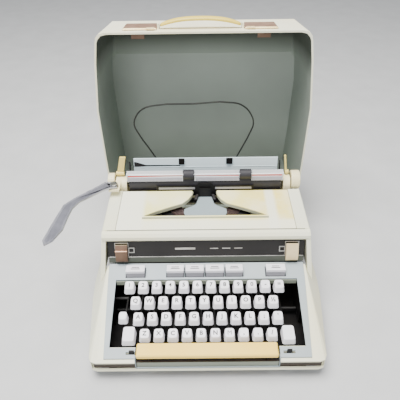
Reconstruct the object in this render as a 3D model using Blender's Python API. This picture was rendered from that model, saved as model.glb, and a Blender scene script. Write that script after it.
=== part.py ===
"""A portable manual typewriter standing in the bottom of its case, with the case lid open behind it.

Frame: x = 0 is the machine's middle plane, +x is to the typist's right, the typist sits on
the -y side, +z is up, and z = 0 is the underside of the base pan. The feet reach below it.
All dimensions below are in millimetres and degrees. The helpers turn them into metres.
"""
import math

import bmesh
import bpy
from mathutils import Matrix, Vector

MM = 0.001
GAP = 0.3             # running gap between pieces that nearly touch
OVERLAP = 0.6         # depth by which a bar sinks into the blocks that a union joins it to

# Base and lower casing
FOOT_HEIGHT, FOOT_RADIUS = 6.0, 10.0
PAN_HALF_WIDTH, PAN_FRONT, PAN_REAR, PAN_HEIGHT, PAN_WALL = 150.0, -153.0, 146.0, 11.7, 2.0
PAN_STEP, PAN_PRESSING = 0.6, (105.0, -105.0, 100.0)    # a flat pressed down in the floor: (half width, y, y)
CASE_BOTTOM, CASE_EDGE, CASE_FRONT_EDGE = 12.0, 35.0, 30.7
CASE_WALL = 3.0
CASE_OUTLINE = (      # half of the casing's plan outline, front to rear: (half width, y)
    (150.0, -164.5), (157.0, -162.0), (160.5, -155.0), (165.0, -105.0), (173.0, -55.0),
    (175.5, -20.0), (175.5, 25.0), (172.5, 90.0), (171.0, 140.0), (166.0, 149.0), (156.0, 152.0))
RECESS_LOW, RECESS_HIGH, STRIP_HALF = 15.2, 28.6, 154.0   # the recess along the front edge and its strip
HOOD_BASE = 60.0      # height where the hood stands on the lower casing
HOOD_BASE_HALF = 159.0

# Keyboard surround: a sloping ring, then a slightly steeper panel behind the keys
SURROUND_HALF, SURROUND_FRONT_HALF = 145.0, 139.5
SURROUND_FRONT, SURROUND_BREAK, SURROUND_REAR = -160.5, -53.0, -31.5
SURROUND_THICK = 1.8
WELL_HALF, WELL_FRONT = 133.0, -147.0
WELL_FRONT_Z, WELL_REAR_Z, PANEL_REAR_Z = 39.7, 75.0, 84.2
SPACE_BAR_NOTCH = 97.5

# Keys: (number of keys, x of the first, y, height of the cap's top)
PITCH = 19.5
FIRST_KEY_X = -110.6
KEY_ROWS = {
    "key_row_numbers": (12, FIRST_KEY_X, -71.7, 81.0),
    "key_row_upper": (11, FIRST_KEY_X + 0.50 * PITCH, -91.0, 70.0),
    "key_row_home": (11, FIRST_KEY_X + 0.75 * PITCH, -110.5, 59.0),
    "key_row_lower": (10, FIRST_KEY_X + 1.25 * PITCH, -130.0, 48.0),
}
KEY_PIVOTS = {        # (y, z) of each row's pivot bar
    "key_row_numbers": (-20.0, 63.0),
    "key_row_upper": (-8.0, 53.0),
    "key_row_home": (4.0, 43.0),
    "key_row_lower": (16.0, 33.0),
}
CAP_BASE, CAP_TOP, CAP_HEIGHT, CAP_TILT = 15.4, 13.0, 10.5, 1.7
STEM_BELOW_CAP = 12.0
LEVER_THICK, LEVER_HEIGHT = 2.0, 4.0
PIVOT_BAR_RADIUS, PIVOT_BAR_HALF = 2.5, 138.2

SHIFT_KEYS_X, SHIFT_Y, SHIFT_Z = (-108.0, 111.5), -130.5, 48.0
SHIFT_PIVOT = (32.0, 22.0)
LOCK_X, LOCK_Y, LOCK_Z, LOCK_PIVOT = -117.5, -108.5, 59.5, (-60.0, 40.0)
SPACE_BAR = ((-95.0, -164.5, 38.0), (94.0, -144.8, 47.5))
SPACE_BAR_SLOPE = 1.6      # drop of the bar's top towards its front
SPACE_ARMS_X, SPACE_PIVOT = (-76.5, 79.5), (-60.0, 14.6)
SPACE_STEM_FOOT = 22.5
PANEL_KEYS = {        # x range of each key in the panel behind the keyboard
    "panel_key_left": (-118.5, -90.5),
    "panel_key_clear": (-58.5, -33.0),
    "panel_key_tab_set": (-30.5, -3.5),
    "panel_key_margin": (-1.0, 26.0),
    "panel_key_release": (28.5, 54.0),
    "panel_key_right": (88.0, 116.5),
}
PANEL_KEY_Y, PANEL_KEY_Z = (-51.2, -38.0), (70.0, 88.0)
CORNER_LEVERS_X, CORNER_LEVER_Y = (-102.0, 110.0), -154.0

# Hood, name panel and ribbon cover
SHOULDER_Y, SHOULDER_Z, SHOULDER_HALF = -13.5, 135.0, 152.7
COVER_HALF, COVER_FRONT, COVER_REAR, COVER_REAR_Z = 133.0, -12.8, 76.0, 141.8
COVER_THICK = 2.6
COVER_HINGE = (73.0, 139.9)
COVER_OPENING = (     # plan of the opening over the type basket, round from the left front corner
    (-92.5, 12.5), (91.0, 12.5), (92.0, 17.5), (75.0, 27.0), (52.0, 37.5), (34.0, 45.0), (24.5, 55.0),
    (19.5, 66.0),
    (18.0, 90.0), (-19.0, 90.0), (-21.0, 66.0), (-27.0, 55.0), (-36.5, 45.0), (-55.0, 37.0), (-77.0, 27.0),
    (-93.5, 17.5))
HOOD_REAR_TOP, HOOD_REAR_HALF, REAR_PANEL_Y = 111.0, 156.0, 140.0
PANEL_FOOT, PANEL_HEAD = (-30.2, 85.4), (-21.2, 122.2)
PANEL_HALF = 145.5
CHEEK_WALL = 6.5

# Carriage, at the middle of its travel
PLATEN_Y, PLATEN_Z, PLATEN_RADIUS, PLATEN_HALF = 96.0, 148.0, 16.0, 122.5
SHAFT_RADIUS = 4.0
CARRIAGE_BOTTOM = 122.0
BLOCK_INNER, BLOCK_LEFT, BLOCK_RIGHT, BLOCK_TOP = 127.0, -144.5, 138.0, 156.0
KNOB_LEFT, KNOB_RIGHT = (-157.5, -146.5, 14.0), (140.0, 154.0, 15.5)
BAIL_Y, BAIL_Z, BAIL_ROLLER_RADIUS = 82.5, 168.4, 8.0
BAIL_PIVOT = (108.0, 150.0)
BAIL_ROLLERS = {"bail_roller_left": (-34.5, -17.5), "bail_roller_right": (55.5, 73.5)}
TABLE_FOOT, TABLE_HEAD = (114.5, 140.0), (121.0, 176.0)
TABLE_LEFT, TABLE_RIGHT = -118.0, 121.0
CLIPS = {"margin_clip_left": (-43.0, -33.5), "margin_clip_right": (35.5, 46.0)}
WIRE_Y, WIRE_RADIUS = 125.0, 1.25
WIRE_PATH = ((-76.0, 166.0), (-81.5, 176.0), (-88.0, 188.0), (-106.0, 221.0), (-111.0, 235.0),
             (-107.0, 250.0), (-96.0, 262.0), (-80.0, 267.5), (-17.0, 270.0), (46.0, 271.0),
             (61.0, 265.0), (72.5, 252.0), (77.5, 236.0), (73.5, 221.0), (60.0, 190.0),
             (54.0, 177.0), (49.0, 166.0))
HUB_X, HUB_Y, HUB_Z = -145.0, 71.0, 154.4
BLADE_OUTLINE = (     # plan of the line space lever's blade, round from its rear corner
    (-139.5, 76.0), (-150.0, 78.5), (-159.5, 79.0), (-199.8, 36.3), (-212.5, 18.7), (-217.5, -20.0),
    (-222.0, -61.5), (-217.4, -71.0), (-208.0, -62.0), (-199.5, -38.0), (-198.5, -6.0),
    (-197.0, 10.0), (-190.0, 26.4), (-156.7, 58.0), (-147.0, 63.5), (-139.0, 65.0))

# Case lid, standing open: its rim faces forward
LID_RIM_Y, LID_DEPTH = 157.0, 145.0
LID_WALL = 3.0
LID_SIDES = (         # the rim's outline from the hinge up: (half width, z)
    (158.0, 43.0), (166.0, 45.5), (170.0, 52.0), (173.5, 135.0), (175.0, 245.0), (167.5, 322.0),
    (162.5, 354.0), (160.5, 361.5), (155.5, 367.0), (146.5, 369.0))
LID_ROOF = (          # the roof panel's outline from the hinge up: (half width, z)
    (158.0, 50.0), (168.0, 62.0), (171.5, 135.0), (173.5, 240.0), (170.0, 284.0), (163.0, 294.0))
LID_CHAMFER_Y, LID_CHAMFER_Z, LID_CHAMFER_HALF = 250.0, 361.0, 149.0
HINGE_Y, HINGE_Z, HINGE_RADIUS = 157.5, 38.6, 2.6
HINGE_LEAVES_X = (-105.0, 105.0)
HANDLE_LEFT, HANDLE_RIGHT, HANDLE_Y, HANDLE_PIVOT_Z, HANDLE_PEAK_Z = -66.0, 57.0, 181.0, 372.2, 384.6
LATCH_Y = (170.0, 213.0)
LATCHES = {"lid_latch_left": (-121.5, -70.5), "lid_latch_right": (61.5, 111.5)}


# ---------------------------------------------------------------- helpers

def surround_z(y):
    """Height of the keyboard surround's upper face at y."""
    if y <= SURROUND_BREAK:
        slope = (WELL_REAR_Z - WELL_FRONT_Z) / (SURROUND_BREAK - WELL_FRONT)
        return WELL_REAR_Z + slope * (y - SURROUND_BREAK)
    slope = (PANEL_REAR_Z - WELL_REAR_Z) / (SURROUND_REAR - SURROUND_BREAK)
    return WELL_REAR_Z + slope * (y - SURROUND_BREAK)


def cover_z(y):
    """Height of the ribbon cover's and the shoulders' upper face at y."""
    slope = (COVER_REAR_Z - SHOULDER_Z) / (COVER_REAR - SHOULDER_Y)
    return SHOULDER_Z + slope * (y - SHOULDER_Y)


def lid_top_z(y):
    """Height of the lid's upper wall at y."""
    low_y, low_z = LID_CHAMFER_Y, LID_CHAMFER_Z
    rim_z = LID_SIDES[-1][1]
    return rim_z + (low_z - rim_z) * (y - LID_RIM_Y) / (low_y - LID_RIM_Y)


def side_name(x):
    """Suffix of a left or a right piece."""
    return "left" if x < 0 else "right"


def material(name, colour, roughness, metallic=0.0):
    made = bpy.data.materials.get(name)
    if made is None:
        made = bpy.data.materials.new(name)
        made.use_nodes = True
        shader = made.node_tree.nodes["Principled BSDF"]
        shader.inputs["Base Color"].default_value = (*colour, 1.0)
        shader.inputs["Roughness"].default_value = roughness
        shader.inputs["Metallic"].default_value = metallic
    return made


FINISHES = {
    "casing": ((0.66, 0.68, 0.61), 0.45, 0.0),
    "cover_cream": ((0.84, 0.81, 0.68), 0.45, 0.0),
    "surround_silver": ((0.54, 0.60, 0.63), 0.4, 0.3),
    "panel_dark": ((0.05, 0.042, 0.043), 0.5, 0.0),
    "key_white": ((0.82, 0.80, 0.86), 0.35, 0.0),
    "space_cream": ((0.93, 0.80, 0.56), 0.4, 0.0),
    "black_steel": ((0.02, 0.02, 0.022), 0.5, 0.6),
    "bright_steel": ((0.55, 0.55, 0.56), 0.3, 1.0),
    "rubber": ((0.045, 0.043, 0.055), 0.7, 0.0),
    "paper_table_blue": ((0.58, 0.68, 0.72), 0.45, 0.0),
    "shield_blue": ((0.40, 0.47, 0.50), 0.4, 0.3),
    "lever_silver": ((0.56, 0.56, 0.61), 0.35, 0.5),
    "bail_strip": ((0.75, 0.55, 0.55), 0.3, 0.4),
    "lid_cream": ((0.82, 0.81, 0.74), 0.5, 0.0),
    "latch_copper": ((0.66, 0.42, 0.31), 0.3, 0.9),
    "strip_brown": ((0.04, 0.028, 0.022), 0.5, 0.0),
    "knob_cream": ((0.86, 0.84, 0.72), 0.4, 0.0),
}


def from_mesh(name, mesh, finish, origin=(0.0, 0.0, 0.0)):
    """A named object, with its origin (millimetres) where its joint's axis is."""
    mesh.transform(Matrix.Translation(-Vector(origin) * MM))
    made = bpy.data.objects.new(name, mesh)
    made.location = Vector(origin) * MM
    if finish:
        made.data.materials.append(material(finish, *FINISHES[finish]))
    bpy.context.collection.objects.link(made)
    return made


def mesh_of(build, name="shape"):
    """A mesh that the function build(bm) fills, with its faces turned outwards."""
    bm = bmesh.new()
    build(bm)
    bmesh.ops.recalc_face_normals(bm, faces=bm.faces)
    mesh = bpy.data.meshes.new(name)
    bm.to_mesh(mesh)
    bm.free()
    return mesh


def add_hull(bm, points):
    """The convex hull of the points (millimetres), as a closed shape in bm."""
    verts = [bm.verts.new(Vector(p) * MM) for p in points]
    result = bmesh.ops.convex_hull(bm, input=verts)
    spare = [v for v in result["geom_interior"] + result["geom_unused"]
             if isinstance(v, bmesh.types.BMVert) and not v.link_faces]
    bmesh.ops.delete(bm, geom=list(set(spare)), context="VERTS")


def hulls(name, groups):
    """A mesh of separate convex hulls."""
    return mesh_of(lambda bm: [add_hull(bm, points) for points in groups], name)


def corners(low, high):
    """The eight corners of a box."""
    return [(x, y, z) for x in (low[0], high[0]) for y in (low[1], high[1]) for z in (low[2], high[2])]


def plank(low, high, cut=1.0):
    """Points of a box whose twelve edges are chamfered by cut."""
    points = []
    for x, dx in ((low[0], 1), (high[0], -1)):
        for y, dy in ((low[1], 1), (high[1], -1)):
            for z, dz in ((low[2], 1), (high[2], -1)):
                points += [(x, y + dy * cut, z + dz * cut), (x + dx * cut, y, z + dz * cut),
                           (x + dx * cut, y + dy * cut, z)]
    return points


def disc(centre, radius, axis, at, sides=24):
    """Points of a circle; centre holds the two coordinates across the axis, in x, y, z order."""
    points = []
    for i in range(sides):
        angle = 2 * math.pi * (i + 0.5) / sides
        a = centre[0] + radius * math.cos(angle)
        b = centre[1] + radius * math.sin(angle)
        points.append({"x": (at, a, b), "y": (a, at, b), "z": (a, b, at)}[axis])
    return points


def rod(centre, radius, axis, start, end, sides=24):
    """Points of a cylinder along an axis."""
    return disc(centre, radius, axis, start, sides) + disc(centre, radius, axis, end, sides)


def prism(outline, low, high, axis="z"):
    """A closed mesh: an outline (which may be concave) extruded along an axis."""
    def place(a, b, c):
        return Vector({"x": (c, a, b), "y": (a, c, b), "z": (a, b, c)}[axis]) * MM

    def build(bm):
        face = bm.faces.new([bm.verts.new(place(a, b, low)) for a, b in outline])
        moved = bmesh.ops.extrude_face_region(bm, geom=[face])["geom"]
        shift = place(0, 0, high) - place(0, 0, low)
        bmesh.ops.translate(bm, vec=shift, verts=[v for v in moved if isinstance(v, bmesh.types.BMVert)])
    return mesh_of(build)


def loft(rings):
    """A closed mesh through rings of points with equal counts, capped at both ends."""
    def build(bm):
        made = [[bm.verts.new(Vector(p) * MM) for p in ring] for ring in rings]
        for low, high in zip(made, made[1:]):
            for i in range(len(low)):
                j = (i + 1) % len(low)
                bm.faces.new((low[i], low[j], high[j], high[i]))
        bm.faces.new(made[0][::-1])
        bm.faces.new(made[-1])
    return mesh_of(build)


def use(target, mesh, operation):
    """Cut mesh out of target, or join it on, with a Boolean modifier."""
    tool = bpy.data.objects.new(f"{target.name}_{operation.lower()}", mesh)
    tool.hide_render = True
    tool.display_type = "WIRE"
    bpy.context.collection.objects.link(tool)
    step = target.modifiers.new(operation.lower(), "BOOLEAN")
    step.operation = operation
    step.object = tool
    step.solver = "EXACT"
    return tool


def cut(target, mesh):
    use(target, mesh, "DIFFERENCE")


def join(target, mesh):
    use(target, mesh, "UNION")


def smooth(obj, angle=35.0):
    obj.data.shade_smooth()
    obj.data.set_sharp_from_angle(angle=math.radians(angle))
    return obj


def mirrored(half):
    """A whole outline from its left-hand half, given front to rear as (half width, other)."""
    return [(x, y) for x, y in half] + [(-x, y) for x, y in reversed(half)]


# ---------------------------------------------------------------- base and casing

def case_hull(offset):
    """Points of the lower casing's outer shape, grown by offset."""
    points = []
    for half, y in CASE_OUTLINE:
        grown_y = y + offset * (-1 if y < -150 else 1 if y > 145 else 0)
        edge = CASE_FRONT_EDGE if y < -150 else CASE_EDGE
        for z in (CASE_BOTTOM, edge + offset * 0.5):
            points += [(half + offset, grown_y, z), (-half - offset, grown_y, z)]
    slope = (WELL_REAR_Z - WELL_FRONT_Z) / (SURROUND_BREAK - WELL_FRONT)
    for y in (SURROUND_FRONT, SURROUND_REAR):
        z = WELL_FRONT_Z + slope * (y - WELL_FRONT) - SURROUND_THICK - GAP + offset
        points += [(SURROUND_HALF + 3 + offset * 0.6, y, z), (-SURROUND_HALF - 3 - offset * 0.6, y, z)]
    for y in (SURROUND_REAR, 146.0 + offset):
        base = HOOD_BASE_HALF + offset
        points += [(base, y, HOOD_BASE + offset), (-base, y, HOOD_BASE + offset)]
    return points


def make_base():
    pan = [(PAN_HALF_WIDTH - 14, PAN_FRONT), (PAN_HALF_WIDTH, PAN_FRONT + 14),
           (PAN_HALF_WIDTH, PAN_REAR - 14), (PAN_HALF_WIDTH - 14, PAN_REAR)]
    inner = [(x - PAN_WALL, y + (PAN_WALL if y < 0 else -PAN_WALL)) for x, y in pan]
    base = from_mesh("base_pan", prism(mirrored(pan), PAN_STEP, PAN_HEIGHT), "black_steel")
    half_width, front, rear = PAN_PRESSING
    join(base, hulls("pressing", [corners((-half_width, front, 0), (half_width, rear, PAN_STEP + 1))]))
    cut(base, prism(mirrored(inner), PAN_STEP + PAN_WALL, PAN_HEIGHT + 5))
    for x in (-125.0, 125.0):
        for y, end in ((-128.0, "front"), (122.0, "rear")):
            top_ring = disc((x, y), FOOT_RADIUS, "z", PAN_STEP - GAP)
            rings = top_ring + disc((x, y), FOOT_RADIUS - 1.5, "z", -FOOT_HEIGHT)
            smooth(from_mesh(f"foot_{end}_{side_name(x)}", hulls("foot", [rings]), "rubber"))


def make_lower_case():
    case = from_mesh("lower_case", hulls("case", [case_hull(0)]), "casing")
    cavity = [(x, y, z if z > CASE_BOTTOM else CASE_BOTTOM - 5) for x, y, z in case_hull(-CASE_WALL)]
    cut(case, hulls("cavity", [cavity]))
    # Above the hood's foot the casing ends, and the hood takes over
    cut(case, hulls("top", [corners((-250, SURROUND_REAR - 0.4, HOOD_BASE - 0.2), (250, 200, 140))]))
    well = [(SURROUND_HALF - 6, WELL_FRONT + 1.5), (SURROUND_HALF - 6, 170.0)]
    cut(case, hulls("well", [[(s * x, y, z) for s in (-1, 1) for x, y in well for z in (30, 140)]]))
    # Room for the space bar, and the recess that takes the dark front strip
    cut(case, hulls("space_bar_room", [corners((-SPACE_BAR_NOTCH, -190, RECESS_LOW),
                                               (SPACE_BAR_NOTCH, WELL_FRONT + 3, 60))]))
    cut(case, hulls("corner_slots", corner_slots()))
    recess = corners((-STRIP_HALF - 2.5, -190, RECESS_LOW), (STRIP_HALF + 2.5, -158.6, RECESS_HIGH))
    cut(case, hulls("strip_recess", [recess]))
    strip = hulls("strip", [plank((-STRIP_HALF, -161.2, RECESS_LOW + GAP),
                                  (STRIP_HALF, -158.9, RECESS_HIGH - 1.0), 0.3)])
    from_mesh("front_strip", strip, "strip_brown")


def corner_slots():
    """Cutters for the slots of the two small levers in the front corners."""
    return [corners((x - 8, CORNER_LEVER_Y - 1.6, 20), (x + 8, CORNER_LEVER_Y + 1.6, 80))
            for x in CORNER_LEVERS_X]


def make_surround():
    def slab(ends):
        return [(s * half, y, surround_z(y) - d)
                for half, y in ends for s in (-1, 1) for d in (0, SURROUND_THICK)]

    front, middle, rear = ((SURROUND_FRONT_HALF, SURROUND_FRONT), (SURROUND_HALF, SURROUND_BREAK),
                           (SURROUND_HALF, SURROUND_REAR))
    ring = from_mesh("keyboard_surround", hulls("ring", [slab((front, middle))]), "surround_silver")
    join(ring, hulls("panel", [slab((middle, rear))]))
    cut(ring, hulls("well", [corners((-WELL_HALF, WELL_FRONT, 20), (WELL_HALF, SURROUND_BREAK - 2, 120))]))
    cut(ring, hulls("notch", [corners((-SPACE_BAR_NOTCH, -190, 20), (SPACE_BAR_NOTCH, WELL_FRONT + 5, 120))]))
    slots = [corners((a - 0.8, PANEL_KEY_Y[0] - 0.8, 60), (b + 0.8, PANEL_KEY_Y[1] + 0.8, 120))
             for a, b in PANEL_KEYS.values()]
    cut(ring, hulls("slots", slots + corner_slots()))


def make_hood():
    """The upper casing: a front band, two cheeks with shoulders, and low sides at the rear."""
    band = [(-19.0, 122.6), (-24.0, 122.6), (-25.2, 125.0), (-24.6, 129.5), (-21.0, 133.4), (-15.4, 134.9),
            (-13.8, 133.6), (-13.8, 126.0)]
    reach = SHOULDER_HALF - 0.5
    hood = from_mesh("hood", hulls("band", [[(x, y, z) for x in (-reach, reach) for y, z in band]]), "casing")
    for side in (-1, 1):
        foot, head, wall = HOOD_BASE_HALF, SHOULDER_HALF, CHEEK_WALL
        cheek = []
        for y, z, half in ((-46, HOOD_BASE, foot), (78, HOOD_BASE, foot), (-25.0, 122.0, head + 0.7),
                           (-13.5, SHOULDER_Z - 1.5, head), (78, cover_z(78) - 1.5, head)):
            cheek += [(side * half, y, z), (side * (half - wall), y, z)]
        for y in (-13.5, 78):
            cheek.append((side * (head - 1.5), y, cover_z(y)))
        join(hood, hulls("cheek", [cheek]))
        inner = COVER_HALF + 0.5
        shoulder = [(side * x, y, cover_z(y) - d)
                    for x in (inner, head - 1.8) for y in (-13.5, COVER_REAR + 1) for d in (0, 3.0)]
        join(hood, hulls("shoulder", [shoulder]))
        low_side = []
        for z, half in ((HOOD_BASE, foot), (HOOD_REAR_TOP, HOOD_REAR_HALF - 1)):
            for y in (77.0, 145.0):
                low_side += [(side * half, y, z), (side * (half - 3.0), y, z)]
        join(hood, hulls("low_side", [low_side]))
    cut(hood, hulls("case_below", [[(x, y, z) for x, y, z in case_hull(GAP + 0.2)]]))


def make_name_panel():
    foot_y, foot_z = PANEL_FOOT
    head_y, head_z = PANEL_HEAD
    points = [(s * PANEL_HALF, y, z) for s in (-1, 1)
              for y, z in ((foot_y, foot_z), (head_y, head_z), (foot_y + 2.4, foot_z), (head_y + 2.4, head_z))]
    from_mesh("name_panel", hulls("panel", [points]), "panel_dark")
    for low_x, high_x in ((-134.0, -116.0), (118.0, 136.0)):
        pivot = (0.5 * (low_x + high_x), -33.4, 91.0)
        rocker = [(x, y, z) for x in (low_x, high_x)
                  for y, z in ((-32.6, 89.0), (-30.3, 89.0), (-29.2, 92.0), (-23.9, 115.0), (-26.3, 117.0),
                               (-33.2, 104.0), (-35.0, 92.0))]
        from_mesh(f"panel_latch_{side_name(low_x)}", hulls("latch", [rocker]), "latch_copper", pivot)


def make_inner_frames():
    for side in (-1, 1):
        outline = [(-80.0, 6.0), (-80.0, 30.0), (-34.0, 70.0), (-14.0, 76.0), (30.0, 98.0), (60.0, 116.0),
                   (112.0, 116.0), (112.0, 6.0)]
        shape = prism(outline, side * 139.0 - 1, side * 139.0 + 1, "x")
        from_mesh(f"side_frame_{side_name(side)}", shape, "black_steel")
    rail = [(88.0, 108.0), (88.0, 120.5), (90.0, 121.7), (106.0, 121.7), (108.0, 120.5), (108.0, 108.0)]
    from_mesh("carriage_rail", hulls("rail", [[(x, y, z) for x in (-137.5, 137.5) for y, z in rail]]),
              "bright_steel")
    drum = hulls("drum", [rod((-96.0, 98.0), 20.0, "z", 80.0, 96.0, 32)])
    smooth(from_mesh("mainspring_drum", drum, "bright_steel", (-96.0, 98.0, 88.0)))
    for x in (-108.0, 108.0):
        spool = from_mesh(f"ribbon_spool_{side_name(x)}",
                          hulls("spool", [rod((x, 44.0), 23.0, "z", 112.0, 113.6, 32)]),
                           "black_steel", (x, 44.0, 118.0))
        join(spool, hulls("core", [rod((x, 44.0), 17.0, "z", 113.0, 122.6, 24)]))
        join(spool, hulls("flange", [rod((x, 44.0), 23.0, "z", 122.0, 123.6, 32)]))
        smooth(spool)
    panel = prism([(-154.5, 60.6), (154.5, 60.6), (151.5, 110.0), (-151.5, 110.0)], REAR_PANEL_Y + 5.4,
                  REAR_PANEL_Y + 7.4, "y")
    from_mesh("rear_panel", panel, "casing")


# ---------------------------------------------------------------- type basket

def arc_band(centre_y, inner, outer, start, end, steps):
    """Plan outline of a band between two radii, angles in degrees."""
    angles = [math.radians(start + (end - start) * i / steps) for i in range(steps + 1)]
    far = [(outer * math.cos(a), centre_y + outer * math.sin(a)) for a in angles]
    near = [(inner * math.cos(a), centre_y + inner * math.sin(a)) for a in reversed(angles)]
    return far + near


def make_basket():
    arc = prism(arc_band(68.0, 40.0, 77.0, -158, -22, 28), 117.0, 125.0)
    basket = from_mesh("type_basket", arc, "bright_steel", (0, 40.0, 118.0))
    join(basket, hulls("segment", [corners((-30, 20, 80), (30, 26, 118))]))
    shield = [(-25, 15), (25, 15), (31, 33), (30.5, 41), (18, 48.5), (11, 56), (10.5, 72), (-10.5, 72),
              (-11, 56), (-18, 48.5), (-30.5, 41), (-31, 33)]
    shape = from_mesh("type_shield", prism(shield, 128.0, 130.0), "shield_blue")
    join(shape, hulls("post", [corners((-9, 62, 96), (9, 66, 129))]))
    vibrator = hulls("vibrator", [corners((-9, 74.3, 112), (9, 75.6, 147))])
    from_mesh("ribbon_vibrator", vibrator, "black_steel", (0, 75.0, 130.0))
    guide = [(-78, 131), (78, 131), (78, 150), (14, 150), (10, 155), (-10, 155), (-14, 150), (-78, 150)]
    card = from_mesh("card_guide", prism(guide, 77.2, 78.6, "y"), "black_steel")
    windows = [corners((s * 16, 70, 143), (s * 75, 85, 147.5)) for s in (-1, 1)]
    cut(card, hulls("windows", windows))
    join(card, hulls("foot", [corners((-14, 77.4, 96), (14, 78.4, 133))]))


def make_ribbon_cover():
    """The removable top plate, which swings up on its rear edge."""
    pivot_y, pivot_z = COVER_HINGE
    ends = [(s * COVER_HALF, y, cover_z(y) - d) for s in (-1, 1) for y in (COVER_FRONT, COVER_REAR)
            for d in (0, COVER_THICK)]
    cover = from_mesh("ribbon_cover", hulls("plate", [ends]), "cover_cream", (0, pivot_y, pivot_z))
    cut(cover, prism(COVER_OPENING, 120.0, 160.0))


# ---------------------------------------------------------------- keys

def cap_points(x, y, top, width=CAP_BASE, depth=CAP_BASE):
    """A key cap: a tapered block with clipped corners, its top tilted towards the typist."""
    inset = 0.5 * (CAP_BASE - CAP_TOP)
    points = []
    for half_w, half_d, z, tilt in ((width / 2 - 0.6, depth / 2 - 0.6, top - CAP_HEIGHT, 0),
                                    (width / 2, depth / 2, top - CAP_HEIGHT + 2, 0),
                                    (width / 2 - inset, depth / 2 - inset, top - 0.8, CAP_TILT),
                                    (width / 2 - inset - 1.2, depth / 2 - inset - 1.2, top, CAP_TILT)):
        clip = 3.0
        for sx in (-1, 1):
            for dx, dy in ((half_w, half_d - clip), (half_w - clip, half_d)):
                for sy in (-1, 1):
                    points.append((x + sx * dx, y + sy * dy, z + sy * tilt * dy / (depth / 2)))
    return points


def lever_points(x, y, under, pivot):
    """A flat lever from below a key back to its pivot bar."""
    half = LEVER_THICK / 2
    rise = LEVER_HEIGHT / 2
    return [(x + s * half, py, pz + r) for s in (-1, 1) for r in (-rise, rise)
            for py, pz in ((y - 2.5, under), (pivot[0] + 1.0, pivot[1]))]


def stem_points(x, y, under, top):
    return corners((x - LEVER_THICK / 2, y - 2.5, under - LEVER_HEIGHT / 2),
                   (x + LEVER_THICK / 2, y + 2.5, top))


def make_key_rows():
    for name, (count, first, y, top) in KEY_ROWS.items():
        pivot = KEY_PIVOTS[name]
        places = [first + PITCH * i for i in range(count)]
        under = top - CAP_HEIGHT - STEM_BELOW_CAP + 3.0
        row = from_mesh(name, hulls("caps", [cap_points(x, y, top) for x in places]), "key_white",
                        (0, pivot[0], pivot[1]))
        join(row, hulls("stems", [stem_points(x, y, under, top - 5.0) for x in places]))
        join(row, hulls("levers", [lever_points(x, y, under, pivot) for x in places]))
        join(row, hulls("bar", [rod(pivot, PIVOT_BAR_RADIUS, "x", -PIVOT_BAR_HALF + 1, PIVOT_BAR_HALF - 1, 12)]))


def make_special_keys():
    under = SHIFT_Z - CAP_HEIGHT - STEM_BELOW_CAP + 1.0
    caps = [cap_points(x, SHIFT_Y, SHIFT_Z, 18.5, 24.0) for x in SHIFT_KEYS_X]
    shift = from_mesh("shift_keys", hulls("caps", caps),
                      "key_white", (0, *SHIFT_PIVOT))
    join(shift, hulls("stems", [stem_points(x, SHIFT_Y, under, SHIFT_Z - 5.0) for x in SHIFT_KEYS_X]))
    join(shift, hulls("levers", [lever_points(x, SHIFT_Y, under, SHIFT_PIVOT) for x in SHIFT_KEYS_X]))
    join(shift, hulls("bar", [rod(SHIFT_PIVOT, PIVOT_BAR_RADIUS, "x", -137.0, 137.0, 12)]))
    lock_under = LOCK_Z - CAP_HEIGHT - STEM_BELOW_CAP + 3.0
    lock = from_mesh("shift_lock", hulls("cap", [cap_points(LOCK_X, LOCK_Y, LOCK_Z, 13.5, 13.5)]), "key_white",
                     (0, *LOCK_PIVOT))
    join(lock, hulls("stem", [stem_points(LOCK_X, LOCK_Y, lock_under, LOCK_Z - 5.0)]))
    join(lock, hulls("lever", [lever_points(LOCK_X, LOCK_Y, lock_under, LOCK_PIVOT)]))
    join(lock, hulls("bar", [rod(LOCK_PIVOT, PIVOT_BAR_RADIUS, "x", -137.0, LOCK_X + 1.0, 12)]))
    (_, bar_front, bar_foot), (_, _, bar_top) = SPACE_BAR
    bar = [(x, y, z - (SPACE_BAR_SLOPE if z > bar_foot + 4 and y < bar_front + 4 else 0))
           for x, y, z in plank(*SPACE_BAR, cut=1.6)]
    space = from_mesh("space_bar", hulls("bar", [bar]), "space_cream", (0, *SPACE_PIVOT))
    join(space, hulls("stems", [corners((x - 1, -156.5, SPACE_STEM_FOOT), (x + 1, -150.0, bar_foot + 2))
                                for x in SPACE_ARMS_X]))
    arm_ends = ((-156.0, SPACE_STEM_FOOT + 2), (SPACE_PIVOT[0] + 1, SPACE_PIVOT[1]))
    join(space, hulls("arms", [[(x + s, y, z + r) for s in (-1, 1) for r in (-2, 2) for y, z in arm_ends]
                               for x in SPACE_ARMS_X]))
    join(space, hulls("cross_bar", [rod(SPACE_PIVOT, PIVOT_BAR_RADIUS, "x", -137.0, 137.0, 12)]))
    for name, (low_x, high_x) in PANEL_KEYS.items():
        low, high = (low_x, PANEL_KEY_Y[0], PANEL_KEY_Z[0]), (high_x, PANEL_KEY_Y[1], PANEL_KEY_Z[1])
        middle = (0.5 * (low_x + high_x), 0.5 * sum(PANEL_KEY_Y), PANEL_KEY_Z[1])
        from_mesh(name, hulls("key", [plank(low, high, 1.0)]), "key_white", middle)
    for x in CORNER_LEVERS_X:
        name = "ribbon_selector" if x < 0 else "touch_lever"
        z = surround_z(CORNER_LEVER_Y)
        low, high = (x - 3.5, CORNER_LEVER_Y - 1.2, z - 8), (x + 3.5, CORNER_LEVER_Y + 1.2, z + 5.5)
        from_mesh(name, hulls("tip", [plank(low, high, 0.5)]), "black_steel", (x, CORNER_LEVER_Y, z))


# ---------------------------------------------------------------- carriage

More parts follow.
